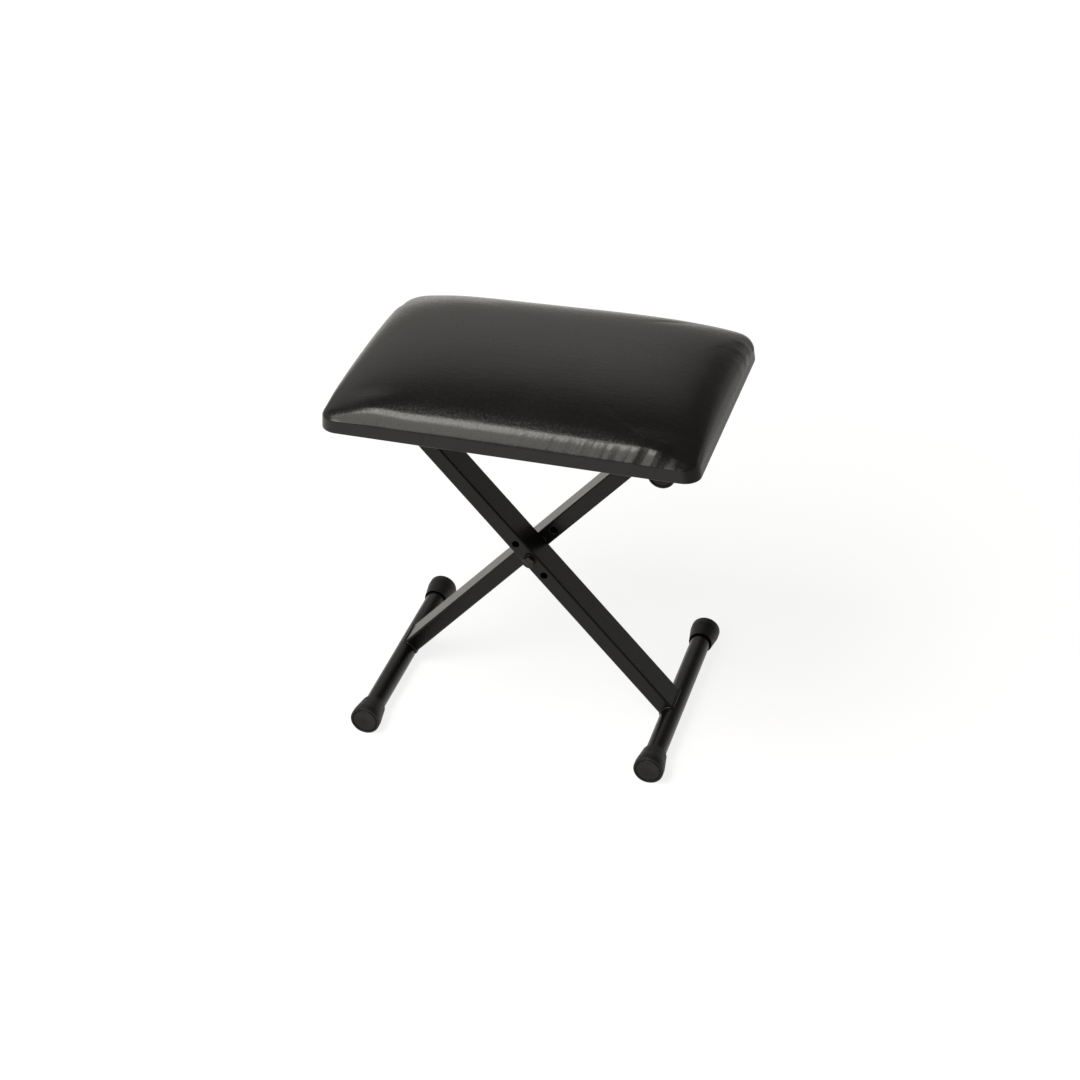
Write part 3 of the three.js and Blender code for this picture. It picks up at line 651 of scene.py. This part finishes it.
screw_in = ear_half - screw_head - screw_play
ear_screws = [(u, w) for u in (-ear_foot + screw_head + screw_play, -ear_sheet - ear_bend - screw_head)
              for w in (-screw_in, screw_in)]
for place, side in (("front", -1), ("rear", 1)):
    low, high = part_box(f"hinge_bracket_{place}")
    outer = low.y if side < 0 else high.y
    holes = [((0, hinge.z - metal_z, 0), bush_radius + hole_play, True)]
    holes += [((u, 0, w), screw_radius + screw_play, False) for u, w in ear_screws]
    strip = bent_strip(ear_foot, metal_z - hinge.z + ear_half, ear_sheet, ear_bend, ear_half_at, holes)
    set_in_place(strip, Vector((hinge.x, outer, metal_z)), (0, side, 0), (side, 0, 0))
    bracket = shown(f"hinge_bracket_{place}_bent", strip, coat, "seat")
    even_shading(bracket)
    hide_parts(f"hinge_bracket_{place}")

# Stops: two brackets of bent 2.5 mm steel over the tube that the seat lies on. Their flanges reach
# down outside the tube, so that the legs can't spread.
stop_sheet, stop_width, stop_reach, stop_drop, stop_bend, stop_round = 0.0025, 0.030, 0.040, 0.022, 0.003, 0.004
stop_in = screw_head * 1.5


def stop_half_at(along, total):
    """Full width with rounded corners at both ends."""
    past = max(0.0, stop_round - min(along, total - along))
    return stop_width / 2 - stop_round + math.sqrt(stop_round ** 2 - past ** 2)


stop_screws = [(-stop_reach + stop_in, -stop_width / 2 + stop_in),
               (-stop_reach + stop_in, stop_width / 2 - stop_in), (-stop_sheet - stop_bend - stop_in, 0)]
stops = []
for place in ("front", "rear"):
    low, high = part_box(f"stop_bracket_{place}")
    stops.append(Vector((high.x, (low.y + high.y) / 2, metal_z)))
    holes = [((u, 0, w), screw_head + hole_play, False) for u, w in stop_screws]
    strip = bent_strip(stop_reach, stop_drop, stop_sheet, stop_bend, stop_half_at, holes)
    set_in_place(strip, stops[-1], (1, 0, 0), (0, -1, 0))
    stop = shown(f"stop_bracket_{place}_bent", strip, coat, "seat")
    even_shading(stop)
    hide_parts(f"stop_bracket_{place}")

# Wood screws: zinc plated 4 x 13 mm with a cross recess, pan heads for the hinge brackets and
# countersunk heads, which lie flush, for the stops over the tube.
recess_width, recess_depth, recess_length, screw_point = 0.0009, 0.0012, 1.1, 0.35


def zinc_plate():
    """Bright zinc with a fine frosted bloom."""
    zinc = Finish("zinc_plate", 0.3, (0.6, 0.61, 0.62), {"Metallic": 1.0})
    zinc.coloured(zinc.tint(zinc.noise(350, 4), (0.48, 0.49, 0.51), (0.66, 0.66, 0.65)))
    zinc.roughened(zinc.noise(700, 3), 0.24, 0.42)
    return zinc.material


def screw_tree(name, pan):
    """A screw, head down, at each point of a mesh."""
    tree = Growth(name, {
        "Places": "NodeSocketGeometry", "Shank radius": screw_radius, "Length": screw_length,
        "Head radius": screw_head, "Head height": screw_rise, "Recess width": recess_width,
        "Recess depth": recess_depth, "Finish": "NodeSocketMaterial", "Seed": 4})
    shank_radius, head_radius, head_height = (
        tree.given[name] for name in ("Shank radius", "Head radius", "Head height"))

    def box(size, z):
        """A box at that height."""
        cube = tree.add("GeometryNodeMeshCube", {"Size": size})
        return tree.add("GeometryNodeTransform", {"Geometry": cube, "Translation": tree.place(Z=z)})

    def cut(geometry, tool):
        return tree.add("GeometryNodeMeshBoolean", {"Mesh 1": geometry, "Mesh 2": tool},
                        operation="DIFFERENCE", solver="EXACT")

    shank = tree.add("GeometryNodeMeshCone", {
        "Vertices": 24, "Radius Bottom": shank_radius, "Depth": tree.given["Length"],
        "Radius Top": tree.maths("MULTIPLY", shank_radius, screw_point)}, fill_type="NGON")
    if pan:
        ball = tree.add("GeometryNodeMeshUVSphere", {"Segments": 40, "Rings": 24, "Radius": head_radius})
        squat = tree.place(X=1.0, Y=1.0, Z=tree.maths("DIVIDE", head_height, head_radius))
        wide = tree.maths("MULTIPLY", head_radius, 3.0)
        head = cut(tree.add("GeometryNodeTransform", {"Geometry": ball, "Scale": squat}),
                   box(tree.place(X=wide, Y=wide, Z=wide), tree.maths("MULTIPLY", wide, 0.5)))
    else:
        head = tree.add("GeometryNodeMeshCone", {
            "Vertices": 40, "Radius Bottom": head_radius, "Radius Top": shank_radius, "Depth": head_height},
            fill_type="NGON")
    face = tree.maths("MULTIPLY", head_height, -1.0 if pan else 0.0)
    length, deep = tree.maths("MULTIPLY", head_radius, recess_length), tree.given["Recess depth"]
    recesses = [box(tree.place(**{along: length, over: tree.given["Recess width"],
                                  "Z": tree.maths("MULTIPLY", deep, 2.0)}), face)
                for along, over in (("X", "Y"), ("Y", "X"))]
    driven = cut(head, tree.add("GeometryNodeJoinGeometry", {"Geometry": recesses}))
    turn = tree.add("FunctionNodeRandomValue", {
        "Min": (0, 0, 0), "Max": (0, 0, math.pi / 2), "Seed": tree.given["Seed"]}, data_type="FLOAT_VECTOR")
    return tree.end(tree.add("GeometryNodeInstanceOnPoints", {
        "Points": tree.given["Places"], "Rotation": turn,
        "Instance": tree.add("GeometryNodeJoinGeometry", {"Geometry": [shank, driven]})}))


zinc = zinc_plate()
pan_places, sunk_places = [], []
for place, side in (("front", -1), ("rear", 1)):
    low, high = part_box(f"hinge_bracket_{place}")
    outer = low.y if side < 0 else high.y
    pan_places += [(hinge.x + side * w, outer + side * u, metal_z - ear_sheet - screw_play)
                   for u, w in ear_screws]
for corner in stops:
    sunk_places += [(corner.x + u, corner.y + w, metal_z - stop_sheet) for u, w in stop_screws]
for name, places, pan in (("hinge_screw", pan_places, True), ("stop_screw", sunk_places, False)):
    made = screw_tree(f"{name}s", pan).grown(mesh_of(places, []), zinc)
    screws = shown(f"{name}s_cross_head", made, zinc, "seat", 30)
    count = len(places) // 2
    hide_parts(*[f"{name}_{place}_{number + 1}" for place in ("front", "rear")
                          for number in range(count)])

# Seat board: 15 mm plywood with blind screw holes, cut rounder at its rear corners, its upper edge
# eased so that the vinyl isn't cut. Only its raw underside shows, inside the hem of the cover.
seat_half_x, seat_half_y, vinyl_thick = 0.220, 0.162, 0.0012
eased_edge, sawn_edge, board_gap, layer_pair = 0.003, 0.0006, 0.0003, 0.003
# Corners from the right rear one on to the left. The ends lean in at the top, the left one less
seat_corners, corner_growth, corner_most = (0.027, 0.038, 0.020, 0.019), 0.55, 0.8
side_lean, lean_start, left_lean = 0.0022, 0.15, 0.4
cells_x, cells_y, corner_cells = 84, 60, 5
board_top = board_high.z


def raw_plywood():
    """Birch veneer with its grain along the bench, and layers of glue seen from the side."""
    plywood = Finish("raw_plywood", 0.65, (0.5, 0.34, 0.2))
    grain = plywood.noise(120, 5, (0.06, 1, 1))
    height = plywood.add("ShaderNodeSeparateXYZ", {"Vector": plywood.place}).outputs["Z"]
    layers = plywood.maths("SINE", plywood.maths("MULTIPLY", height, 2 * math.pi / layer_pair))
    veneer = plywood.tint(grain, (0.40, 0.26, 0.14), (0.60, 0.43, 0.26))
    plywood.coloured(plywood.add("ShaderNodeMix", {
        "Factor": plywood.spread(layers, 0.0, 0.4, 0.5, 1.0), "A": veneer, "B": (0.55, 0.42, 0.3, 1)},
        data_type="RGBA", blend_type="MULTIPLY"))
    plywood.roughened(grain, 0.55, 0.75)
    plywood.relief(grain, 0.0001)
    return plywood.material


def seat_loop(inset, pull=0.0):
    """Points round the seat at that inset from its edge, starting at the right rear corner, with
    a point on the middle of each corner. The sides are drawn in by pull."""
    half_x, half_y = seat_half_x - inset, seat_half_y - inset
    signs = ((1, 1), (-1, 1), (-1, -1), (1, -1))

    def on_corner(corner, degrees):
        sign_x, sign_y = signs[corner % 4]
        radius = min(seat_corners[corner % 4] + corner_growth * inset, corner_most * half_y)
        turn = math.radians(90 * corner + degrees)
        return (sign_x * (half_x - radius) + radius * math.cos(turn),
                sign_y * (half_y - radius) + radius * math.sin(turn))

    loop = []
    for corner in range(4):
        straight = (cells_x if corner % 2 == 0 else cells_y) - 2 * corner_cells
        loop += [on_corner(corner, 45 + 45 * step / corner_cells) for step in range(corner_cells)]
        start, end = on_corner(corner, 90), on_corner(corner + 1, 0)
        inward = math.radians(90 * (corner + 1) + 180)
        for step in range(straight):
            share = step / straight
            bow = pull * 4 * share * (1 - share)
            loop.append((start[0] + (end[0] - start[0]) * share + bow * math.cos(inward),
                         start[1] + (end[1] - start[1]) * share + bow * math.sin(inward)))
        loop += [on_corner(corner + 1, 45 * step / corner_cells) for step in range(corner_cells)]
    return loop


def eased(value, low, high):
    """0 below low, 1 above high, with soft ends."""
    share = min(1.0, max(0.0, (value - low) / (high - low)))
    return share * share * (3 - 2 * share)


def leaning(x, y, z):
    """A point of the seat, whose ends are planed at a slant, narrower on top."""
    up = min(1.0, max(0.0, (z - board_low.z) / (board_top - board_low.z)))
    lean = side_lean * up * eased(abs(x), lean_start, seat_half_x) * (1.0 if x > 0 else left_lean)
    return x - math.copysign(lean, x), y, z


def board_mesh():
    """The board inside its cover, from its underside over its sides to its eased upper edge."""
    side = vinyl_thick + board_gap
    rings = [(side + sawn_edge, board_low.z), (side, board_low.z + sawn_edge), (side, board_top - eased_edge)]
    rings += [(side + eased_edge - x, board_top - eased_edge + z)
              for x, z in arc(0, 0, eased_edge, 0, 90, 5)[1:]]
    vertices = [leaning(x, y, z) for inset, z in rings for x, y in seat_loop(inset)]
    count = len(vertices) // len(rings)
    faces = [tuple(range(count)), tuple(range(len(vertices) - count, len(vertices)))]
    for row in range(len(rings) - 1):
        faces += between(row, row + 1, count)
    drill = joined([round_bit(screw_radius, 2 * screw_length, Matrix.Translation((x, y, board_low.z)), 24)
                    for x, y, _ in pan_places + sunk_places])
    return drilled(outward(mesh_of(vertices, faces)), drill)


board = shown("seat_board_plywood", board_mesh(), raw_plywood(), "seat", 40)
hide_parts("seat_board")

# Cushion: a foam block with black grained vinyl drawn over it and stapled under the board. The
# vinyl is taut, so the sides are drawn in a little between the corners, a flat band covers the
# board's edge, and fine pleats run up from it where the vinyl was pulled hardest.
cushion_rise, hem_width, hem_edge, hem_fold, band_rows = 0.0432, 0.015, 0.0015, 0.0001, 6
room_insets, swell_start = (0.06, 0.01), 0.004
drawn_in, crown_across, crown_deep = 0.0025, 3.0, 2.0
# Fuller at the rear from a place on the left to one on the right, and towards both ends of the front
rear_full, rear_fullness, rear_reach = (-0.096, 0.144), 0.35, 0.04
front_full, front_fullness, end_start = (0.72, 0.97), 0.21, 0.5
shoulder, shoulder_slope = 0.0175, 2.5
corner_ease, corner_reach = (0.009, 0.016, 0.004, 0.004), 0.03
corner_cuts = ((-1, 1, 0.30, 0.050), (-1, -1, 0.12, 0.034), (1, 1, 0.06, 0.030), (1, -1, 0.10, 0.034))
loop_gap, loop_gap_growth, loop_gap_most, loops_to = 0.0028, 0.0035, 0.0055, 0.085
swell, swell_most, swell_smoothing, cloth_frames = 0.0004, 0.0006, 6, 20
hem_z = board_low.z - vinyl_thick - board_gap


def shoulder_height(inset):
    """Height of the rounded front shoulder, up to where it runs into the crown."""
    out, share = 1 - shoulder / seat_half_y, inset / shoulder
    level = math.sqrt(1 - out ** 2)
    return ((share ** 3 - 2 * share ** 2 + share) * shoulder_slope * shoulder / cushion_rise
            + (3 * share ** 2 - 2 * share ** 3) * level + (share ** 3 - share ** 2) * (1 - out) * out / level)


def crown_height(x, y, smaller):
    """Height of the crown over a point, for a surface that lies inside the cover. The foam is cut
    away a little at the corners, most of all at the left rear, is fullest at the right rear, and
    has a rounded shoulder all along the front."""
    across = min(1.0, abs(x) / (seat_half_x - smaller))
    deep = min(1.0, abs(y) / (seat_half_y - smaller))
    height = (1 - across ** crown_across) ** (1 / crown_across)
    if y < 0:
        end = math.sin(math.pi * max(0.0, across - end_start) / (1 - end_start)) ** 2
        height *= 1 + front_fullness * end * eased(deep, *front_full)
    inset = (1 - deep) * seat_half_y
    if y < 0 and inset < shoulder:
        height *= shoulder_height(inset)
    else:
        power = crown_deep + rear_fullness * eased(x, *rear_full) * min(1.0, max(0.0, y / rear_reach))
        height *= (1 - deep ** power) ** (1 / power)
    for side_x, side_y, cut, reach in corner_cuts:
        away = math.hypot(x - side_x * seat_half_x, y - side_y * seat_half_y) / reach
        height *= 1 - cut * math.exp(-away * away)
    corner = (0 if x > 0 else 1) if y > 0 else (3 if x > 0 else 2)
    radius = seat_corners[corner]
    out_x, out_y = abs(x) - seat_half_x + radius, abs(y) - seat_half_y + radius
    if min(out_x, out_y) > -corner_reach:
        inside = radius - math.hypot(max(out_x, 0.0), max(out_y, 0.0)) - smaller
        ease = 1 - min(1.0, max(0.0, inside / corner_ease[corner]))
        height *= 1 - eased(min(out_x, out_y), -corner_reach, 0) * (1 - math.sqrt(max(0.0, 1 - ease * ease)))
    return board_top + (cushion_rise - smaller) * height


def crown_insets():
    """Insets of the loops over the crown, close together where it is steep."""
    insets, turn = [], 0.0
    while True:
        length = math.hypot(seat_half_y * math.sin(turn), cushion_rise * math.cos(turn))
        turn += min(loop_gap + loop_gap_growth * turn, loop_gap_most) / length
        inset = seat_half_y * (1 - math.cos(turn))
        if inset > loops_to:
            return insets
        insets.append(inset)


def cushion_mesh(smaller):
    """Closed form: the room for the board, the hem under it, the band, the crown."""
    room, hem_top, band_low = board_top + board_gap, hem_z + vinyl_thick, hem_z + hem_edge
    levels = [(inset, room) for inset in (*room_insets, vinyl_thick)]
    levels += [(vinyl_thick, (hem_top + room) / 2), (vinyl_thick, hem_top), (hem_width / 2, hem_top),
               (hem_width, hem_top), (hem_width + hem_fold, hem_z + vinyl_thick / 2), (hem_width, hem_z),
               (hem_width * 0.55, hem_z), (hem_edge * 2, hem_z)]
    levels += [(hem_edge + x, band_low + z) for x, z in arc(0, 0, hem_edge, 270, 180, 4)]
    levels += [(0, band_low + (board_top - band_low) * step / band_rows) for step in range(1, band_rows + 1)]
    loops = [[(x, y, z) for x, y in seat_loop(inset)] for inset, z in levels]
    for inset in crown_insets():
        pull = drawn_in * (1 - inset / seat_half_y) ** 2
        loop = seat_loop(inset + smaller * min(1.0, inset / swell_start), pull)
        loops.append([(x, y, crown_height(x, y, smaller)) for x, y in loop])
    count = len(loops[0])
    vertices = [point for loop in loops for point in loop]
    faces = []
    for row in range(len(loops) - 1):
        faces += between(row, row + 1, count)

    def filled(row, height):
        """A grid inside a loop, blended from its four sides."""
        loop = [Vector(point) for point in loops[row]]
        corner = (0, cells_x, cells_x + cells_y, 2 * cells_x + cells_y)
        ids = {}
        for i in range(cells_x + 1):
            for j in range(cells_y + 1):
                u, v = i / cells_x, j / cells_y
                rear, front, right, left = i, corner[3] - i, (count - j) % count, corner[1] + j
                if 0 < i < cells_x and 0 < j < cells_y:
                    blend = loop[rear] * (1 - v) + loop[front] * v + loop[right] * (1 - u) + loop[left] * u
                    blend -= (loop[corner[0]] * (1 - u) * (1 - v) + loop[corner[1]] * u * (1 - v)
                              + loop[corner[3]] * (1 - u) * v + loop[corner[2]] * u * v)
                    ids[i, j] = len(vertices)
                    vertices.append((blend.x, blend.y, height(blend.x, blend.y)))
                else:
                    edge = rear if j == 0 else front if j == cells_y else right if i == 0 else left
                    ids[i, j] = row * count + edge % count
        for i in range(cells_x):
            for j in range(cells_y):
                faces.append((ids[i, j], ids[i + 1, j], ids[i + 1, j + 1], ids[i, j + 1]))

    filled(0, lambda x, y: room)
    filled(len(loops) - 1, lambda x, y: crown_height(x, y, smaller))
    return outward(mesh_of([leaning(*point) for point in vertices], faces), 0), len(levels) * count


def puffed(mesh, fixed):
    """The vinyl drawn over foam: a cloth under pressure, fixed round the board, which may move a
    little way."""
    helper = bpy.data.objects.new("cushion_cloth", mesh.copy())
    bpy.context.collection.objects.link(helper)
    pinned = helper.vertex_groups.new(name="stapled")
    inner = (cells_x - 1) * (cells_y - 1)
    room = range(len(mesh.vertices) - 2 * inner, len(mesh.vertices) - inner)
    pinned.add([*range(fixed), *room], 1.0, "REPLACE")
    cloth = helper.modifiers.new("cloth", "CLOTH")
    for name, value in (("quality", 6), ("mass", 0.4), ("tension_stiffness", 40), ("compression_stiffness", 40),
                        ("shear_stiffness", 20), ("bending_stiffness", 4.0), ("vertex_group_mass", "stapled"),
                        ("use_pressure", True), ("uniform_pressure_force", 4.0)):
        setattr(cloth.settings, name, value)
    cloth.settings.effector_weights.gravity = 0.0
    cloth.collision_settings.use_collision = False
    cloth.point_cache.frame_start = 1
    cloth.point_cache.frame_end = cloth_frames
    for step in range(1, cloth_frames + 1):
        bpy.context.scene.frame_set(step)
    moved = helper.evaluated_get(bpy.context.evaluated_depsgraph_get()).data
    ways = [after.co - before.co for before, after in zip(mesh.vertices, moved.vertices)]
    ways = [way * min(1.0, swell_most / max(way.length, 1e-9)) for way in ways]
    bpy.context.scene.frame_set(1)
    bpy.data.objects.remove(helper)
    near = [[] for vertex in mesh.vertices]
    for edge in mesh.edges:
        first, second = edge.vertices
        near[first].append(second)
        near[second].append(first)
    for turn in range(swell_smoothing):
        ways = [way if index < fixed else (way + sum((ways[other] for other in near[index]), Vector()))
                / (1 + len(near[index])) for index, way in enumerate(ways)]
    return [vertex.co + way for vertex, way in zip(mesh.vertices, ways)]


def subdivided(helper):
    finer = helper.modifiers.new("finer", "SUBSURF")
    finer.levels = 1
    finer.render_levels = 1


cushion, fixed = cushion_mesh(swell)
for vertex, place in zip(cushion.vertices, puffed(cushion, fixed)):
    vertex.co = place
cushion = carried_out(cushion, subdivided)

# Folds of the cover: leaning pleats at the right of the front, where the vinyl was pulled over the
# board, each steep at its left and long at its right, and faint ones down the right side. A pleat
# has its place, its height, how far it rises and how far it drops.
front_pleats = ((0.103, 0.0002, 0.006, 0.008), (0.1165, 0.0004, 0.006, 0.008), (0.130, 0.0004, 0.006, 0.008),
                (0.1425, 0.0008, 0.007, 0.014), (0.1655, 0.0010, 0.008, 0.019), (0.190, 0.0004, 0.008, 0.010))
side_pleats = ((0.122, 0.0004, 0.010, 0.008), (0.098, 0.0004, 0.010, 0.010), (0.070, 0.0002, 0.010, 0.012))
front_slant, side_slant, crest, pleats_face = 0.42, -0.30, 0.0001, 0.25
# Over the board's top: where pleats start, are full, still full, and end
front_run, side_run = (-0.010, 0.004, 0.013, 0.026), (-0.006, 0.004, 0.012, 0.026)
# The streaks fade behind the front, towards the left half and before the right end
streak_limits = (("Y", 1, 0, -0.136, -0.122), ("X", 0, 1, -0.02, 0.05), ("X", 1, 0, 0.185, 0.205))


def rise_and_fall(value, low, full, still, high):
    """0 below low, 1 from full to still, 0 above high, with soft ends."""
    return eased(value, low, full) * eased(high - value, 0, high - still)


def fold(x, y, z, normal):
    """How far a fold lifts the cover at a point."""
    above = z - board_top
    lift = 0.0
    for pleats, slant, run, along, out in ((front_pleats, front_slant, front_run, x, -normal.y),
                                           (side_pleats, side_slant, side_run, y, normal.x)):
        if out > pleats_face and above > run[0]:
            reach = rise_and_fall(above, *run)
            lift += sum(height * reach * rise_and_fall(along - place - slant * above, -rise, 0.0, crest, drop)
                        for place, height, rise, drop in pleats)
    return lift


lifts = [vertex.normal * fold(*vertex.co, vertex.normal) for vertex in cushion.vertices]
for vertex, lift in zip(cushion.vertices, lifts):
    vertex.co += lift


def vinyl():
    """Black imitation leather, satin: a pebbled grain, fine creases along the bench, and drawn
    streaks up the right half of the front."""
    cover = Finish("black_grained_vinyl", 0.2, (0.008, 0.0078, 0.0073), {"IOR": 1.39})
    cover.coloured(cover.tint(cover.noise(22, 4), (0.007, 0.0068, 0.0064), (0.0095, 0.0092, 0.0086)))
    cover.roughened(cover.noise(320, 3), 0.17, 0.30)
    place = cover.add("ShaderNodeSeparateXYZ", {"Vector": cover.place}).outputs
    lean = cover.maths("MULTIPLY_ADD", place["Z"], -front_slant, place["X"])
    drawn = cover.add("ShaderNodeCombineXYZ", {"X": lean})
    height = cover.add("ShaderNodeTexNoise", {"Vector": drawn, "Scale": 95, "Detail": 1.5})
    for axis, low, high, start, end in streak_limits:
        height = cover.maths("MULTIPLY", height, cover.spread(place[axis], low, high, start, end))
    cover.relief(height, 0.0006)
    cover.relief(cover.noise(180, 2, (0.22, 1, 1)), 0.00012)
    cover.relief(cover.noise(300, 1), 0.00007)
    cover.relief(cover.noise(1100, 1), 0.00001)
    return cover.material


cover = shown("cushion_vinyl_cover", cushion, vinyl(), "seat", 45)
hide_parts("seat_cover", "seat_foam")

# Staples: narrow crowns of flat steel wire that hold the turned-in hem of the cover to the board,
# shot in one after another along the middle of the hem, none quite straight.
staple_crown, staple_width, staple_thick, staple_gap, staple_inset = 0.010, 0.0011, 0.0005, 0.024, 0.0085
staple_sunk, staple_end, staple_skew = 0.35, 0.0012, 0.16


def staple_tree():
    """Staples along a line, their ends bent up into it."""
    tree = Growth("hem_staples", {
        "Line": "NodeSocketGeometry", "Crown": staple_crown, "Wire width": staple_width,
        "Wire thickness": staple_thick, "Gap": staple_gap, "Crooked": staple_skew,
        "Finish": "NodeSocketMaterial", "Seed": 7})
    path = tree.add("GeometryNodeMeshToCurve", {"Mesh": tree.given["Line"]})
    spots = tree.add("GeometryNodeCurveToPoints", {"Curve": path, "Length": tree.given["Gap"]}, mode="LENGTH")
    half = tree.maths("MULTIPLY", tree.given["Crown"], 0.5)
    start, end = (tree.place(X=tree.maths("MULTIPLY", half, sign)) for sign in (-1.0, 1.0))
    wire = tree.add("GeometryNodeResampleCurve", {
        "Curve": tree.add("GeometryNodeCurvePrimitiveLine", {"Start": start, "End": end}), "Count": 17})
    here = tree.add("ShaderNodeSeparateXYZ", {"Vector": tree.add("GeometryNodeInputPosition")})
    share = tree.maths("DIVIDE", here.outputs["X"], half)
    bend = tree.maths("MULTIPLY", tree.maths("POWER", tree.maths("MULTIPLY", share, share), 5.0), staple_end)
    wire = tree.add("GeometryNodeSetPosition", {"Geometry": wire, "Offset": tree.place(Z=bend)})
    section = tree.add("GeometryNodeCurvePrimitiveQuadrilateral", {
        "Width": tree.given["Wire width"], "Height": tree.given["Wire thickness"]})
    section = tree.add("GeometryNodeFilletCurve", {
        "Curve": section, "Radius": tree.maths("MULTIPLY", tree.given["Wire thickness"], 0.3)})
    staple = tree.add("GeometryNodeCurveToMesh", {"Curve": wire, "Profile Curve": section, "Fill Caps": True})
    along = tree.add("FunctionNodeAlignRotationToVector", {"Vector": spots.outputs["Tangent"]},
                     axis="X", pivot_axis="Z")
    crooked = tree.add("FunctionNodeRandomValue", {
        2: tree.maths("MULTIPLY", tree.given["Crooked"], -1.0), 3: tree.given["Crooked"],
        "Seed": tree.given["Seed"]}, data_type="FLOAT")
    turned = tree.add("FunctionNodeRotateRotation", {
        "Rotation": along, "Rotate By": tree.place(Z=crooked)}, rotation_space="LOCAL")
    return tree.end(tree.add("GeometryNodeInstanceOnPoints", {
        "Points": spots, "Instance": staple, "Rotation": turned}))


hem_line = [(x, y, hem_z - staple_thick * staple_sunk) for x, y in seat_loop(staple_inset)]
hem = mesh_of(hem_line, [], [(step, (step + 1) % len(hem_line)) for step in range(len(hem_line))])
staples = shown("hem_staples", staple_tree().grown(hem, zinc), zinc, "seat", 50)

# Studio: a white floor that keeps a faint shadow, pale walls that are dimmer at the right, a dark
# ceiling, and soft lamps over the front of the seat, the front one broader.
warm_light = (1, 0.98, 0.93)
floor_half = 6
left_wall = ((0.0, 0.60), (0.06, 0.45), (0.2, 0.44), (0.42, 0.68), (0.62, 0.72), (0.78, 0.14), (1, 0.08))
right_wall = ((0.0, 0.48), (0.10, 0.46), (0.2, 0.40), (0.33, 0.17), (0.62, 0.12), (0.78, 0.08), (1, 0.06))
floor_mesh = mesh_of([(x * floor_half, y * floor_half, 0) for x, y in ((-1, -1), (1, -1), (1, 1), (-1, 1))],
                     [(0, 1, 2, 3)])
studio_floor = bpy.data.objects.new("studio_floor", floor_mesh)
bpy.context.collection.objects.link(studio_floor)
white = Finish("studio_white", 0.9, (0.8, 0.8, 0.8))
rays = white.add("ShaderNodeLightPath").outputs
far = white.add("ShaderNodeVectorMath", {0: white.place}, operation="LENGTH")
paler = white.spread(far, 0.74, 0.90, 0.5, 2.5)
across = white.add("ShaderNodeSeparateXYZ", {"Vector": white.place}).outputs["X"]
mirrored = white.maths("MULTIPLY", paler, white.spread(across, 1.0, 0.32, 0.20, 0.68))
glow = white.add("ShaderNodeEmission", {
    "Strength": white.add("ShaderNodeMix", {
        "Factor": rays["Is Camera Ray"], "A": mirrored, "B": white.maths("ADD", paler, 0.1)}),
    "Color": white.add("ShaderNodeMix", {
        "Factor": rays["Is Camera Ray"], "A": (*warm_light, 1), "B": (1, 1, 1, 1)}, data_type="RGBA")})
pale = white.add("ShaderNodeBsdfDiffuse", {"Color": (0.25, 0.25, 0.25, 1)})
seen = white.maths("MAXIMUM", rays["Is Camera Ray"], rays["Is Glossy Ray"])
choice = white.add("ShaderNodeMixShader", {
    "Fac": white.maths("MAXIMUM", seen, rays["Is Transmission Ray"]), 1: white.shader,
    2: white.add("ShaderNodeAddShader", {0: pale, 1: glow})})
white.connect(white.tree.nodes["Material Output"], {"Surface": choice})
floor_mesh.materials.append(white.material)

world = bpy.data.worlds.new("studio_walls")
bpy.context.scene.world = world
world.use_nodes = True
walls = Nodes(world.node_tree)
around = walls.add("ShaderNodeTexCoord").outputs["Generated"]
facing = walls.add("ShaderNodeSeparateXYZ", {"Vector": around}).outputs
left, right = (walls.ramp(facing["Z"], [
    (height, [level * part for part in warm_light]) for height, level in wall])
    for wall in (left_wall, right_wall))
sides = walls.add("ShaderNodeMix", {
    "Factor": walls.spread(facing["X"], 0, 1, -0.17, 0.18), "A": left, "B": right}, data_type="RGBA")
seen = walls.add("ShaderNodeMix", {
    "Factor": walls.add("ShaderNodeLightPath").outputs["Is Camera Ray"], "A": sides, "B": (1, 1, 1, 1)},
    data_type="RGBA")
walls.connect(walls.tree.nodes["Background"], {"Color": seen, "Strength": 1.0})


def soft_lamp(name, place, aim, size, size_y, power):
    """Rectangular soft box that shines from place towards aim."""
    lamp = bpy.data.lights.new(name, "AREA")
    lamp.shape = "RECTANGLE"
    lamp.size = size
    lamp.size_y = size_y
    lamp.energy = power
    lamp.color = warm_light
    made = bpy.data.objects.new(name, lamp)
    made.location = place
    made.rotation_euler = (Vector(aim) - Vector(place)).to_track_quat("-Z", "Y").to_euler()
    bpy.context.collection.objects.link(made)


soft_lamp("front_soft_box", (-0.655, -1.285, 1.877), (-0.375, 0, 0.45), 1.2, 2.4, 28.0)
soft_lamp("top_soft_box", (-0.73, -0.895, 2.37), (-0.45, 0, 0.45), 0.86, 1.12, 21.9)

# Camera: from the front, a little to the right and well above the seat.
camera = bpy.data.objects.new("camera", bpy.data.cameras.new("camera"))
bpy.context.collection.objects.link(camera)
camera.location = (0.6786, -2.3278, 1.7615)
swing, tilt, roll = (Matrix.Rotation(math.radians(angle), 3, axis)
                     for angle, axis in ((16.394, "Z"), (57.516, "X"), (-0.230, "Z")))
camera.rotation_euler = (swing @ tilt @ roll).to_euler()
camera.data.lens = 79.43
camera.data.sensor_width = 36
camera.data.clip_end = 50
bpy.context.scene.camera = camera
bpy.context.scene.view_settings.view_transform = "Standard"

bpy.context.view_layer.update()
